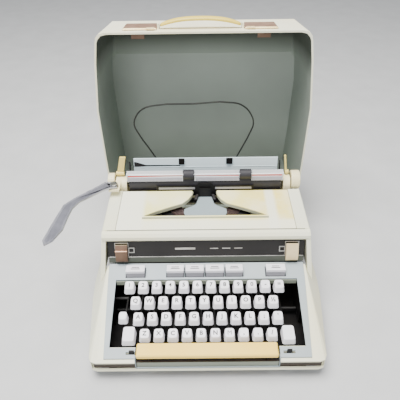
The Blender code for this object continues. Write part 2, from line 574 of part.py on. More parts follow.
def make_carriage_frame():
    """Two end blocks on a pair of bars, with a bracket for the line space lever."""
    centre = (PLATEN_Y, BLOCK_TOP - 14.0)

    def block(start, end):
        return rod(centre, 14.0, "x", start, end) + corners((start, 82, CARRIAGE_BOTTOM), (end, 110, 130))

    frame = from_mesh("carriage_frame", hulls("left_block", [block(BLOCK_LEFT, -BLOCK_INNER)]), "knob_cream",
                      (0, PLATEN_Y, CARRIAGE_BOTTOM))
    join(frame, hulls("right_block", [block(BLOCK_INNER, BLOCK_RIGHT)]))
    reach = BLOCK_INNER + OVERLAP
    front_bar = corners((-reach, 83, CARRIAGE_BOTTOM + 0.5), (reach, 90, 129))
    rear_bar = corners((-reach, 102, CARRIAGE_BOTTOM + 0.5), (reach, 109, 129))
    join(frame, hulls("bars", [front_bar, rear_bar]))
    bracket = [(-152.5, 62), (-136, 62), (-136, 90), (-145, 90), (-145, 79.5), (-152.5, 79.5)]
    join(frame, prism(bracket, 150.6, HUB_Z - 0.6))
    brackets = [corners((x - 4, 108.2, 124), (x + 4, 117.2, 128.4)) for x in (-90, 90)]
    join(frame, hulls("table_brackets", brackets))
    cut(frame, hulls("shaft_holes", [rod((PLATEN_Y, PLATEN_Z), SHAFT_RADIUS + 0.5, "x", -170, 170)]))


def make_platen():
    centre = (PLATEN_Y, PLATEN_Z)
    roller = rod(centre, PLATEN_RADIUS, "x", -PLATEN_HALF, PLATEN_HALF, 40)
    platen = from_mesh("platen", hulls("roller", [roller]), "rubber", (0, PLATEN_Y, PLATEN_Z))
    shaft = rod(centre, SHAFT_RADIUS, "x", KNOB_LEFT[1] + 0.4, KNOB_RIGHT[0] - 0.4, 16)
    join(platen, hulls("shaft", [shaft]))
    smooth(platen)
    for name, (start, end, radius) in (("platen_knob_left", KNOB_LEFT), ("platen_knob_right", KNOB_RIGHT)):
        points = rod(centre, radius, "x", start + 2, end - 2, 32) + rod(centre, radius - 2, "x", start, end, 32)
        smooth(from_mesh(name, hulls("knob", [points]), "knob_cream", (0.5 * (start + end), *centre)))


def make_paper_table():
    foot_y, foot_z = TABLE_FOOT
    head_y, head_z = TABLE_HEAD
    plate = [(x, y + d, z)
             for x in (TABLE_LEFT, TABLE_RIGHT) for y, z in (TABLE_FOOT, TABLE_HEAD) for d in (0, 1.6)]
    table = from_mesh("paper_table", hulls("plate", [plate]), "paper_table_blue", (0, foot_y, foot_z))
    join(table, hulls("legs", [corners((x - 3.5, 113.2, 128.8), (x + 3.5, 116.0, 142.5)) for x in (-90, 90)]))
    for name, (low_x, high_x) in CLIPS.items():
        clip = [(x, y, z) for x in (low_x, high_x)
                for y, z in ((head_y - 2.6, head_z - 11.0), (head_y - 4.6, head_z - 9.5), (head_y - 3.6, head_z + 0.4),
                             (head_y - 0.9, head_z + 0.4))]
        from_mesh(name, hulls("clip", [clip]), "black_steel", (0.5 * (low_x + high_x), head_y, head_z))
    curve = bpy.data.curves.new("paper_support", "CURVE")
    curve.dimensions = "3D"
    curve.bevel_depth = WIRE_RADIUS * MM
    curve.bevel_resolution = 1
    curve.resolution_u = 3
    curve.render_resolution_u = 0
    curve.use_fill_caps = True
    spline = curve.splines.new("BEZIER")
    spline.bezier_points.add(len(WIRE_PATH) - 1)
    for point, (x, z) in zip(spline.bezier_points, WIRE_PATH):
        point.co = Vector((x, 0, z)) * MM
        point.handle_left_type = point.handle_right_type = "AUTO"
    curve.materials.append(material("black_steel", *FINISHES["black_steel"]))
    wire = bpy.data.objects.new("paper_support", curve)
    wire.location = Vector((0, WIRE_Y, 0)) * MM
    bpy.context.collection.objects.link(wire)


def make_paper_bail():
    pivot_y, pivot_z = BAIL_PIVOT
    rod_shape = hulls("rod", [rod((BAIL_Y, BAIL_Z), 1.5, "x", -124.4, 124.4, 12)])
    bail = from_mesh("paper_bail", rod_shape, "bail_strip", (0, pivot_y, pivot_z))
    edges = [-124.4] + [x + s for a, b in BAIL_ROLLERS.values() for x, s in ((a, -0.8), (b, 0.8))] + [124.4]
    # The strip leans back: its lower edge stands in front of the platen
    section = ((84.6, 174.8), (83.2, 175.1), (79.4, 158.0), (80.8, 157.7))
    strips = [[(x, y, z) for x in edges[i:i + 2] for y, z in section] for i in range(0, len(edges), 2)]
    join(bail, hulls("strips", strips))
    arms = []
    for side in (-1, 1):
        start, end = side * 123.2, side * 124.8
        arms.append(rod((BAIL_Y, BAIL_Z), 3.6, "x", start, end, 12) + rod(BAIL_PIVOT, 4.5, "x", start, end, 12))
    join(bail, hulls("arms", arms))
    for name, (low_x, high_x) in BAIL_ROLLERS.items():
        centre = (BAIL_Y, BAIL_Z)
        tyre = hulls("roller", [rod(centre, BAIL_ROLLER_RADIUS, "x", low_x, high_x, 28)])
        roller = from_mesh(name, tyre, "rubber",
                           (0.5 * (low_x + high_x), *centre))
        cut(roller, hulls("bore", [rod(centre, 1.5 + GAP, "x", low_x - 5, high_x + 5, 12)]))
        smooth(roller)


def make_levers():
    flange = hulls("flange", [rod((HUB_X, HUB_Y), 7.0, "z", HUB_Z, HUB_Z + 1.2, 24)])
    hub = from_mesh("lever_hub", flange, "bright_steel",
                    (HUB_X, HUB_Y, HUB_Z))
    join(hub, hulls("post", [rod((HUB_X, HUB_Y), 3.0, "z", HUB_Z + 0.6, HUB_Z + 5.2, 16)]))
    join(hub, hulls("cap", [rod((HUB_X, HUB_Y), 5.5, "z", HUB_Z + 4.4, HUB_Z + 6.6, 24)]))
    blade = prism(BLADE_OUTLINE, HUB_Z + 1.6, HUB_Z + 4.0)
    lever = from_mesh("line_space_lever", blade, "lever_silver", (HUB_X, HUB_Y, HUB_Z))
    cut(lever, hulls("bore", [rod((HUB_X, HUB_Y), 3.0 + GAP, "z", 100, 200, 16)]))
    boss_y, boss_z = 100.0, 161.0
    for name, low_foot, high_foot, low_head, high_head in (
            ("paper_release_lever", -144.0, -133.5, -136.0, -126.5),
            ("carriage_release_lever", 131.0, 134.0, 126.5, 129.5)):
        plate = [(x, y, z) for a, b, z in ((low_foot, high_foot, boss_z - 3), (low_head, high_head, 192.0))
                 for x in (a, b) for y in (boss_y - 1.2, boss_y + 1.2)]
        boss = (0.5 * (low_foot + high_foot), boss_y, boss_z)
        lever = from_mesh(name, hulls("plate", [plate]), "knob_cream", boss)
        join(lever, hulls("boss", [rod((boss_y, boss_z), 3.6, "x", low_foot - 0.4, high_foot + 2.0, 16)]))


# ---------------------------------------------------------------- case lid

def make_lid():
    def ring(outline, y, inset=0.0, lift=0.0):
        low = min(z for _, z in outline)
        high = max(z for _, z in outline)
        points = []
        for half, z in outline:
            grown = z + (inset if z < low + 15 else -inset if z > high - 15 else 0.0)
            points += [(s * (half - inset), y, grown) for s in (-1, 1)]
        return points

    outer = ring(LID_SIDES, LID_RIM_Y) + ring(LID_ROOF, LID_RIM_Y + LID_DEPTH)
    outer += [(s * LID_CHAMFER_HALF, LID_CHAMFER_Y, LID_CHAMFER_Z) for s in (-1, 1)]
    inner = ring(LID_SIDES, LID_RIM_Y - 20, LID_WALL) + ring(LID_SIDES, LID_RIM_Y, LID_WALL)
    inner += ring(LID_ROOF, LID_RIM_Y + LID_DEPTH - LID_WALL, LID_WALL)
    inner += [(s * (LID_CHAMFER_HALF - LID_WALL), LID_CHAMFER_Y - 1.5, LID_CHAMFER_Z - LID_WALL) for s in (-1, 1)]
    lid = from_mesh("lid_shell", hulls("outside", [outer]), "lid_cream", (0, HINGE_Y, HINGE_Z))
    cut(lid, hulls("inside", [inner]))
    lugs = [corners((x, HANDLE_Y - 4.5, 363), (x + 3.0, HANDLE_Y + 4.5, 375.5))
            for x in (HANDLE_LEFT - 3.6, HANDLE_RIGHT + 0.6)]
    join(lid, hulls("handle_lugs", lugs))
    smooth(lid, 20)

    middle, half = 0.5 * (HANDLE_LEFT + HANDLE_RIGHT), 0.5 * (HANDLE_RIGHT - HANDLE_LEFT)
    rings = []
    for i in range(17):
        t = -1 + i / 8
        z = HANDLE_PIVOT_Z + (HANDLE_PEAK_Z - 3.0 - HANDLE_PIVOT_Z) * (1 - abs(t) ** 2.6)
        width, thick = 3.6 + 3.0 * (1 - t ** 4), 2.4 + 0.6 * (1 - t ** 4)
        rings.append([(middle + half * t, HANDLE_Y + dy * width, z + dz * thick)
                      for dy, dz in ((-1, -0.4), (-1, 0.4), (-0.6, 1), (0.6, 1), (1, 0.4), (1, -0.4),
                                      (0.6, -1), (-0.6, -1))])
    handle = from_mesh("handle", loft(rings), "cover_cream", (middle, HANDLE_Y, HANDLE_PIVOT_Z))
    smooth(handle, 40)

    for name, (low_x, high_x) in LATCHES.items():
        front, rear = LATCH_Y
        latch = [(x, y, lid_top_z(y) + d) for x in (low_x, high_x) for y in (front, rear) for d in (0.5, 2.0)]
        latch += [(x, y, lid_top_z(y) + 3.2) for x in (low_x + 2, high_x - 2) for y in (front + 2, rear - 2)]
        from_mesh(name, hulls("latch", [latch]), "latch_copper",
                  (0.5 * (low_x + high_x), rear, lid_top_z(rear) + 1.2))


def make_lid_hinge():
    """Base half: a strip with two knuckles. Lid half: one pin with two leaves under the lid's floor."""
    plate = corners((-130, 152.4, 24), (130, 154.2, 36))
    strip = from_mesh("hinge_base", hulls("strip", [plate]), "bright_steel")
    knuckles = [rod((HINGE_Y, HINGE_Z), HINGE_RADIUS + 1.6, "x", x - 14, x + 14, 16)
                + corners((x - 14, 153.4, 30), (x + 14, 154.0, 34)) for x in HINGE_LEAVES_X]
    join(strip, hulls("knuckles", knuckles))
    cut(strip, hulls("bore", [rod((HINGE_Y, HINGE_Z), 1.5 + GAP, "x", -200, 200, 12)]))
    pin = from_mesh("hinge_leaf", hulls("pin", [rod((HINGE_Y, HINGE_Z), 1.5, "x", -132, 132, 12)]), "bright_steel",
                    (0, HINGE_Y, HINGE_Z))
    leaves = [rod((HINGE_Y, HINGE_Z), HINGE_RADIUS, "x", x - 12, x + 12, 12)
              + corners((x - 12, HINGE_Y, 40.0), (x + 12, 178, 42.4)) for x in (0.0, -60.0, 60.0)]
    join(pin, hulls("leaves", leaves))


def main():
    for old in list(bpy.data.objects):
        bpy.data.objects.remove(old, do_unlink=True)
    make_base()
    make_lower_case()
    make_surround()
    make_hood()
    make_name_panel()
    make_inner_frames()
    make_basket()
    make_ribbon_cover()
    make_key_rows()
    make_special_keys()
    make_carriage_frame()
    make_platen()
    make_paper_table()
    make_paper_bail()
    make_levers()
    make_lid()
    make_lid_hinge()


main()
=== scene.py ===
"""Looks of a portable manual typewriter that stands in the bottom of its case, its lid open behind it.

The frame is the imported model: +x to the typist's right, +y away from the typist, +z up, metres.
Lengths in this script are millimetres, and MM turns them into metres.
"""
import math

import bmesh
import bpy
from mathutils import Matrix, Vector


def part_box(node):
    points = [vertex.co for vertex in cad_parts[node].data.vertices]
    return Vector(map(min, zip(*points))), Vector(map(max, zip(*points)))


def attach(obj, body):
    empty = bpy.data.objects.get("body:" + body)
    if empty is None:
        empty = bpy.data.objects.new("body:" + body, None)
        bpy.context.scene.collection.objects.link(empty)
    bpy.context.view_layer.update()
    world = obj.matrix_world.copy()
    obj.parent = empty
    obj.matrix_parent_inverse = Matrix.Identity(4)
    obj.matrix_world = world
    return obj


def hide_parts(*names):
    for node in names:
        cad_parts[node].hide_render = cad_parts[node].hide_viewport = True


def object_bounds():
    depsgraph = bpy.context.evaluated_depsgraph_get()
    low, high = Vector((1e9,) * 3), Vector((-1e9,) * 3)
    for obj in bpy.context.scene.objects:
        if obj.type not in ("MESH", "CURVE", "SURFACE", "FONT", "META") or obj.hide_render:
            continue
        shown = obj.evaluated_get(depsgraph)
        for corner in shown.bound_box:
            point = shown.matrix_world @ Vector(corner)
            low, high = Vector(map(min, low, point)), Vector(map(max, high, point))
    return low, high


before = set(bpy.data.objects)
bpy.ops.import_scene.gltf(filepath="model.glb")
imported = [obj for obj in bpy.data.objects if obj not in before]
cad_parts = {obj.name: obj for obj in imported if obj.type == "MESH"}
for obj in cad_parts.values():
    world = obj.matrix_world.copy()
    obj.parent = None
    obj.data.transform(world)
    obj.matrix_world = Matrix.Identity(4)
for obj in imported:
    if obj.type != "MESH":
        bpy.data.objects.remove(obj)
cad_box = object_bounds()
MM = 0.001
FLOOR_Z = cad_box[0][2]
SIDE_NAMES = {-1: "left", 1: "right"}


# ---------------------------------------------------------------- camera, light and floor

def make_camera():
    """Looks down on the machine from the typist's side."""
    pitch, yaw, roll = math.radians(36.23), math.radians(-0.31), math.radians(-0.82)
    forward = Vector((math.sin(yaw) * math.cos(pitch), math.cos(yaw) * math.cos(pitch), -math.sin(pitch)))
    right = Vector((math.cos(yaw), -math.sin(yaw), 0))
    up = right.cross(forward)
    turned_right = math.cos(roll) * right + math.sin(roll) * up
    turned_up = -math.sin(roll) * right + math.cos(roll) * up
    camera = bpy.data.objects.new("camera", bpy.data.cameras.new("camera"))
    camera.matrix_world = Matrix((turned_right, turned_up, -forward)).transposed().to_4x4()
    camera.location = (-0.0052, -0.5203, 0.5595)
    camera.data.sensor_width = 36
    camera.data.lens = 40.51
    bpy.context.collection.objects.link(camera)
    bpy.context.scene.camera = camera


def make_light(name, place, aim, size, watts, colour):
    """A square soft box that points at aim."""
    light = bpy.data.lights.new(name, "AREA")
    light.size, light.energy, light.color = size, watts, colour
    lamp = bpy.data.objects.new(name, light)
    lamp.location = place
    lamp.rotation_euler = (Vector(aim) - Vector(place)).to_track_quat("-Z", "Y").to_euler()
    bpy.context.collection.objects.link(lamp)


def make_studio():
    world = bpy.data.worlds.new("studio")
    world.use_nodes = True
    world.node_tree.nodes["Background"].inputs["Color"].default_value = (0.93, 0.96, 1.0, 1)
    world.node_tree.nodes["Background"].inputs["Strength"].default_value = 0.55
    bpy.context.scene.world = world
    make_light("ceiling_box", (-0.25, -0.2, 2.0), (0, 0, 0.1), 1.3, 105, (1.0, 0.98, 0.94))
    make_light("front_box", (-0.5, -2.0, 1.2), (0, 0, 0.2), 1.2, 26, (0.98, 0.99, 1.0))
    bpy.ops.mesh.primitive_plane_add(size=9.0, location=(0, 0, FLOOR_Z))
    floor = bpy.context.object
    floor.name = "floor"
    floor.data.materials.append(pale_floor())


# ---------------------------------------------------------------- finishes

def srgb(code):
    """A hex colour such as "d6d9cf" as linear red, green, blue and one."""
    parts = [int(code[i:i + 2], 16) / 255 for i in (0, 2, 4)]
    return (*[p / 12.92 if p <= 0.04045 else ((p + 0.055) / 1.055) ** 2.4 for p in parts], 1.0)


def add(tree, kind, sockets=None, **settings):
    """Adds a node; a socket takes a value, or the output socket that it is joined to."""
    made = tree.nodes.new("ShaderNode" + kind)
    for name, value in settings.items():
        setattr(made, name, value)
    for name, value in (sockets or {}).items():
        if isinstance(value, bpy.types.NodeSocket):
            tree.links.new(value, made.inputs[name])
        else:
            made.inputs[name].default_value = value
    return made


def start_finish(name, roughness, metallic=0.0, **sockets):
    """A new material: its tree, its shader and the Object coordinates."""
    made = bpy.data.materials.new(name)
    made.use_nodes = True
    tree = made.node_tree
    shader = tree.nodes["Principled BSDF"]
    shader.inputs["Roughness"].default_value = roughness
    shader.inputs["Metallic"].default_value = metallic
    for socket, value in sockets.items():
        shader.inputs[socket.replace("_", " ")].default_value = value
    return made, tree, shader, add(tree, "TexCoord").outputs["Object"]


def link(tree, output, shader, socket):
    tree.links.new(output, shader.inputs[socket])


ROOF_SHADE_FOOT, ROOF_SHADE_HEAD = 0.292, 0.332    # metres: the heights between which painted shade darkens the lid's lining towards its roof


def enamel(name, colour, aged, worn, roughness=0.42, stipple=0.35, depth=0.12, roof_shade=None):
    """Stoved enamel: a fine orange peel, yellowed in soft patches and grimy in spots.

    A roof shade colour, if given, is painted shade: the paint turns to it near the roof of the lid, standing
    for the shadow under the lid's top.
    """
    made, tree, shader, where = start_finish(name, roughness)
    patches = add(tree, "TexNoise", {"Vector": where, "Scale": 9.0, "Detail": 3.0})
    yellowed = add(tree, "ValToRGB", {"Fac": patches.outputs["Fac"]})
    yellowed.color_ramp.elements[0].position, yellowed.color_ramp.elements[1].position = 0.35, 0.72
    yellowed.color_ramp.elements[0].color, yellowed.color_ramp.elements[1].color = srgb(colour), srgb(aged)
    specks = add(tree, "TexNoise", {"Vector": where, "Scale": 160.0, "Detail": 6.0, "Roughness": 0.7})
    few = add(tree, "MapRange", {"Value": specks.outputs["Fac"], "From Min": 0.66, "From Max": 0.8,
                                 "To Max": 0.55})
    colour_out = add(tree, "Mix", {"Factor": few.outputs["Result"], "A": yellowed.outputs["Color"],
                                   "B": srgb(worn)}, data_type="RGBA")
    # Painted shade: the colour darkens with height towards the lid's roof.
    if roof_shade:
        height = add(tree, "SeparateXYZ", {"Vector": where})
        rising = add(tree, "MapRange", {"Value": height.outputs["Z"], "From Min": ROOF_SHADE_FOOT,
                                        "From Max": ROOF_SHADE_HEAD})
        colour_out = add(tree, "Mix", {"Factor": rising.outputs["Result"], "A": colour_out.outputs["Result"],
                                       "B": srgb(roof_shade)}, data_type="RGBA")
    link(tree, colour_out.outputs["Result"], shader, "Base Color")
    smear = add(tree, "TexNoise", {"Vector": where, "Scale": 30.0, "Detail": 4.0})
    sheen = add(tree, "MapRange", {"Value": smear.outputs["Fac"], "To Min": roughness - 0.08,
                                   "To Max": roughness + 0.12})
    link(tree, sheen.outputs["Result"], shader, "Roughness")
    peel = add(tree, "TexNoise", {"Vector": where, "Scale": 1 / (stipple * MM) / 3, "Detail": 2.0})
    bump = add(tree, "Bump", {"Height": peel.outputs["Fac"], "Strength": depth, "Distance": 0.0004})
    link(tree, bump.outputs["Normal"], shader, "Normal")
    return made


def sunned_enamel():
    """Cream enamel that the sun has yellowed in upright bands, with a whiter strip along the front edge."""
    made, tree, shader, where = start_finish("sunned_cream_enamel", 0.38)
    place = add(tree, "SeparateXYZ", {"Vector": where})
    across = add(tree, "MapRange", {"Value": place.outputs["X"], "From Min": -0.14, "From Max": 0.14})
    bands = add(tree, "ValToRGB", {"Fac": across.outputs["Result"]})
    stops = ((0.0, "f2f2e0"), (0.15, "f2f2dc"), (0.175, "f1ea9e"), (0.35, "f1edb2"), (0.55, "f2e99c"),
             (0.83, "f3e388"), (0.845, "f2f1d4"), (0.88, "f1f0d6"), (0.9, "f4e078"), (1.0, "f5e48c"))
    for spot, colour in stops[1:-1]:
        bands.color_ramp.elements.new(spot).color = srgb(colour)
    bands.color_ramp.elements[0].color = srgb(stops[0][1])
    bands.color_ramp.elements[-1].color = srgb(stops[-1][1])
    clouds = add(tree, "TexNoise", {"Vector": where, "Scale": 26.0, "Detail": 4.0})
    pale = add(tree, "MapRange", {"Value": clouds.outputs["Fac"], "From Min": 0.45, "From Max": 0.7,
                                  "To Min": 0.0, "To Max": 0.6})
    patchy = add(tree, "Mix", {"Factor": pale.outputs["Result"], "A": bands.outputs["Color"],
                               "B": srgb("f3f0dc")}, data_type="RGBA")
    front = add(tree, "MapRange", {"Value": place.outputs["Y"], "From Min": 0.003, "From Max": 0.011,
                                   "To Min": 0.8, "To Max": 0.0})
    faded = add(tree, "Mix", {"Factor": front.outputs["Result"], "A": patchy.outputs["Result"],
                              "B": srgb("f2f1de")}, data_type="RGBA")
    link(tree, faded.outputs["Result"], shader, "Base Color")
    gloss = add(tree, "MapRange", {"Value": clouds.outputs["Fac"], "To Min": 0.32, "To Max": 0.48})
    link(tree, gloss.outputs["Result"], shader, "Roughness")
    peel = add(tree, "TexNoise", {"Vector": where, "Scale": 800.0, "Detail": 2.0})
    bump = add(tree, "Bump", {"Height": peel.outputs["Fac"], "Strength": 0.08, "Distance": 0.0004})
    link(tree, bump.outputs["Normal"], shader, "Normal")
    return made


def moulded_plastic(name, colour, second, roughness=0.35, grain=0.5, **sockets):
    """Injection moulded plastic, with a slight flow variation and fine scratches in its gloss."""
    made, tree, shader, where = start_finish(name, roughness, **sockets)
    flow = add(tree, "TexNoise", {"Vector": where, "Scale": 22.0, "Detail": 3.0})
    tint = add(tree, "Mix", {"Factor": flow.outputs["Fac"], "A": srgb(colour), "B": srgb(second)},
               data_type="RGBA")
    link(tree, tint.outputs["Result"], shader, "Base Color")
    rub = add(tree, "TexNoise", {"Vector": where, "Scale": 120.0, "Detail": 5.0})
    gloss = add(tree, "MapRange", {"Value": rub.outputs["Fac"], "To Min": roughness - 0.07,
                                   "To Max": roughness + 0.12})
    link(tree, gloss.outputs["Result"], shader, "Roughness")
    fine = add(tree, "TexNoise", {"Vector": where, "Scale": 1 / (grain * MM) / 2, "Detail": 2.0})
    bump = add(tree, "Bump", {"Height": fine.outputs["Fac"], "Strength": 0.08, "Distance": 0.0003})
    link(tree, bump.outputs["Normal"], shader, "Normal")
    return made


def drawn_metal(name, colour, tarnish, roughness=0.3, along="X", strokes=900.0, metallic=1.0):
    """Drawn or rolled metal: fine streaks along one axis, and cloudy tarnish."""
    made, tree, shader, where = start_finish(name, roughness, metallic)
    stretch = {"X": (0.03, 1, 1), "Y": (1, 0.03, 1), "Z": (1, 1, 0.03)}[along]
    long = add(tree, "Mapping", {"Vector": where, "Scale": stretch})
    streaks = add(tree, "TexNoise", {"Vector": long.outputs["Vector"], "Scale": strokes, "Detail": 3.0})
    clouds = add(tree, "TexNoise", {"Vector": where, "Scale": 45.0, "Detail": 5.0})
    spread = add(tree, "MapRange", {"Value": clouds.outputs["Fac"], "From Min": 0.4, "From Max": 0.75})
    tint = add(tree, "Mix", {"Factor": spread.outputs["Result"], "A": srgb(colour), "B": srgb(tarnish)},
               data_type="RGBA")
    link(tree, tint.outputs["Result"], shader, "Base Color")
    gloss = add(tree, "MapRange", {"Value": streaks.outputs["Fac"], "To Min": roughness - 0.1,
                                   "To Max": roughness + 0.18})
    link(tree, gloss.outputs["Result"], shader, "Roughness")
    bump = add(tree, "Bump", {"Height": streaks.outputs["Fac"], "Strength": 0.1, "Distance": 0.0002})
    link(tree, bump.outputs["Normal"], shader, "Normal")
    return made


def pale_floor():
    """Painted screed: matt and pale, barely mottled."""
    made, tree, shader, where = start_finish("pale_screed", 0.8)
    mottle = add(tree, "TexNoise", {"Vector": where, "Scale": 14.0, "Detail": 8.0})
    tint = add(tree, "Mix", {"Factor": mottle.outputs["Fac"], "A": srgb("b9babb"), "B": srgb("cbcccd")},
               data_type="RGBA")
    link(tree, tint.outputs["Result"], shader, "Base Color")
    return made


def make_finishes():
    """Every finish of the machine, by a short name."""
    return {
        "casing": enamel("grey_cream_stoved_enamel", "e4e5cf", "e8e3c2", "b5b096"),
        "cover": sunned_enamel(),
        "lid": enamel("cream_textured_enamel", "e9e8d2", "ece3be", "aca68c", 0.5, 0.5, 0.3),
        # The lining turns to 454a43 near the roof: painted shade under the lid's top.
        "lid_inside": enamel("grey_green_lining_paint", "9ba49b", "929a92", "6b7269", 0.55, 0.6, 0.3,
                             "454a43"),
        "surround": enamel("silver_grey_satin_paint", "929fa6", "99a2a3", "727b7e", 0.36, 0.4, 0.08),
        "sage": enamel("grey_green_satin_paint", "82887a", "777d70", "5d6257", 0.45, 0.4, 0.08),
        # Painted shade: the grey-green sage paint darkened for where it lies in shadow.
        "foot_strip": enamel("shaded_grey_green_satin_paint", "484c43", "42463e", "383b35", 0.45, 0.4, 0.08),
        "panel": enamel("dark_umber_satin_paint", "171414", "151312", "262220", 0.6, 0.3, 0.1),
        "table": enamel("pale_blue_satin_paint", "cbdde4", "d4e0e2", "93a1a5", 0.36, 0.4, 0.08),
        "shield": enamel("pale_grey_satin_paint", "8f9ca1", "879397", "5e686c", 0.35, 0.4, 0.08),
        # Painted reflection for the card guide's clear windows.
        "pane": enamel("card_window_painted_reflection", "8f8d93", "838187", "626065", 0.4, 0.3, 0.08),
        "key": moulded_plastic("white_moulded_keytop_plastic", "f3f1f6", "ebe9f0", 0.3, Coat_Weight=0.2),
        "key_grey": moulded_plastic("grey_moulded_key_plastic", "a3a1a8", "98969d", 0.36),
        "legend": moulded_plastic("dark_legend_ink", "1a171d", "221f26", 0.5),
        "space": moulded_plastic("yellowed_cream_bar_plastic", "ffd04c", "ffdf7c", 0.36),
        "knob": moulded_plastic("cream_moulded_knob_plastic", "efe7c6", "ebdfae", 0.36),
        "handle": moulded_plastic("cream_moulded_handle_plastic", "dcc458", "d6bd50", 0.4),
        "ear": moulded_plastic("yellowed_lever_plastic", "ead47c", "e3cc72", 0.36),
        "bail": moulded_plastic("clear_faced_bail_plastic", "d9dade", "d0d2d8", 0.2, Coat_Weight=0.4),
        "bail_grey": moulded_plastic("grey_bail_backing_plastic", "9f9da5", "94929c", 0.25),
        "red": moulded_plastic("red_scale_line_plastic", "cf2c1a", "c22818", 0.3),
        "black": drawn_metal("blackened_steel", "161517", "231f1d", 0.42, metallic=0.6),
        "lever": drawn_metal("dull_black_lever_lacquer", "111012", "1b1918", 0.5, metallic=0.2),
        "steel": drawn_metal("nickelled_steel", "c3c2be", "98958f", 0.3),
        "type_steel": drawn_metal("coppery_type_bar_steel", "b39c9c", "8a7373", 0.36),
        "wire": drawn_metal("black_lacquered_wire", "242624", "33332f", 0.4, metallic=0.5),
        "alloy": drawn_metal("pressed_aluminium", "b3b3be", "9d9da9", 0.36, "Y"),
        # Painted highlight for the return lever's rim.
        "alloy_highlight": drawn_metal("aluminium_painted_highlight", "dcdce4", "cbcbd4", 0.3, "Y"),
        "skirt": enamel("olive_grey_satin_paint", "b4b59c", "abac93", "83846e", 0.45, 0.4, 0.08),
        "copper": drawn_metal("coppery_latch_plating", "cfa78c", "ad8468", 0.36, metallic=0.8),
        "copper_cream": drawn_metal("worn_pale_latch_plating", "f0dcae", "dcc08c", 0.4, metallic=0.4),
        # Real tarnished copper on the catches and rim; painted shade on the left panel latch's turned-away
        # faces.
        "dark_copper": drawn_metal("tarnished_and_shaded_copper_plating", "7a6252", "5c493c", 0.5, metallic=0.7),
        "rubber": moulded_plastic("hard_dark_platen_rubber", "201e24", "29272d", 0.6, 0.8),
        "strip": moulded_plastic("dark_brown_trim_plastic", "271b16", "322620", 0.45),
        # Near-black painted shade, laid where holes, slots and gaps lie in shade, and on the shaded type
        # basket.
        "void": moulded_plastic("black_painted_shade", "0b0a0b", "131112", 0.7),
    }


# ---------------------------------------------------------------- modelling helpers

def settle(name):
    """The new primitive, named, with its place and size moved into its mesh."""
    bpy.ops.object.transform_apply(location=True, rotation=True, scale=True)
    made = bpy.context.object
    made.name = made.data.name = name
    return made


def block(name, low, high):
    """A cube added between two corners."""
    bpy.ops.object.select_all(action="DESELECT")
    size = [(b - a) * MM for a, b in zip(low, high)]
    middle = [0.5 * (a + b) * MM for a, b in zip(low, high)]
    bpy.ops.mesh.primitive_cube_add(size=1.0, location=middle, scale=size)
    return settle(name)


def turning(name, middle, radius, length, axis="x", sides=32):
    """A cylinder added at its middle, along an axis."""
    bpy.ops.object.select_all(action="DESELECT")
    turn = {"x": (0, math.pi / 2, 0), "y": (math.pi / 2, 0, 0), "z": (0, 0, 0)}[axis]
    bpy.ops.mesh.primitive_cylinder_add(vertices=sides, radius=radius * MM, depth=length * MM,
                                        location=Vector(middle) * MM, rotation=turn)
    return settle(name)


def outline_slab(name, outline, low, high, axis="z"):
    """A flat outline, drawn as one face and extruded along an axis."""
    order = {"x": lambda a, b, c: (c, a, b), "y": lambda a, b, c: (a, c, b),
             "z": lambda a, b, c: (a, b, c)}[axis]
    mesh = bpy.data.meshes.new(name)
    mesh.from_pydata([Vector(order(a, b, low)) * MM for a, b in outline], [], [range(len(outline))])
    made = bpy.data.objects.new(name, mesh)
    bpy.context.collection.objects.link(made)
    edit(made)
    bpy.ops.mesh.select_all(action="SELECT")
    reach = Vector(order(0, 0, high)) - Vector(order(0, 0, low))
    bpy.ops.mesh.extrude_region_move(TRANSFORM_OT_translate={"value": reach * MM})
    bpy.ops.mesh.select_all(action="SELECT")
    bpy.ops.mesh.normals_make_consistent(inside=False)
    done()
    return made


def select_only(*objects):
    """Selects these objects and no others; the first is the active one."""
    bpy.ops.object.select_all(action="DESELECT")
    for obj in objects:
        obj.select_set(True)
    bpy.context.view_layer.objects.active = objects[0]


def edit(obj, kind="FACE"):
    """Edit mode with nothing selected."""
    select_only(obj)
    bpy.ops.object.mode_set(mode="EDIT")
    bpy.ops.mesh.select_mode(type=kind)
    bpy.ops.mesh.select_all(action="DESELECT")


def done():
    """Back to object mode."""
    bpy.ops.object.mode_set(mode="OBJECT")


def pick_faces(obj, test):
    """Selects the faces whose middle (millimetres) and normal pass the test."""
    shape = bmesh.from_edit_mesh(obj.data)
    for face in shape.faces:
        face.select_set(bool(test(face.calc_center_median() / MM, face.normal)))
    bmesh.update_edit_mesh(obj.data)


def pick_edges(obj, test, least=20.0, shortest=0.0):
    """Selects the outward edges, sharper than least degrees, whose two ends (millimetres) pass the test."""
    shape = bmesh.from_edit_mesh(obj.data)
    for edge in shape.edges:
        sharp = len(edge.link_faces) == 2 and abs(edge.calc_face_angle_signed(0)) > math.radians(least)
        long = edge.calc_length() > shortest * MM
        edge.select_set(bool(sharp and long and test(edge.verts[0].co / MM, edge.verts[1].co / MM)))
    bmesh.update_edit_mesh(obj.data)


def round_edges(obj, width, test=lambda a, b: True, segments=3, least=20.0, shortest=0.0):
    """Bevels the edges that pick_edges finds."""
    edit(obj, "EDGE")
    pick_edges(obj, test, least, shortest)
    bpy.ops.mesh.bevel(offset=width * MM, segments=segments, clamp_overlap=True)
    done()


def apply_step(obj, kind, **settings):
    """Adds a modifier and applies it."""
    select_only(obj)
    step = obj.modifiers.new(kind.lower(), kind)
    for name, value in settings.items():
        setattr(step, name, value)
    bpy.ops.object.modifier_apply(modifier=step.name)


def soften(obj, width, segments=3, least=25.0):
    """Rounds all edges sharper than least degrees."""
    apply_step(obj, "BEVEL", width=width * MM, segments=segments, limit_method="ANGLE",
               angle_limit=math.radians(least))
    return shade(obj)


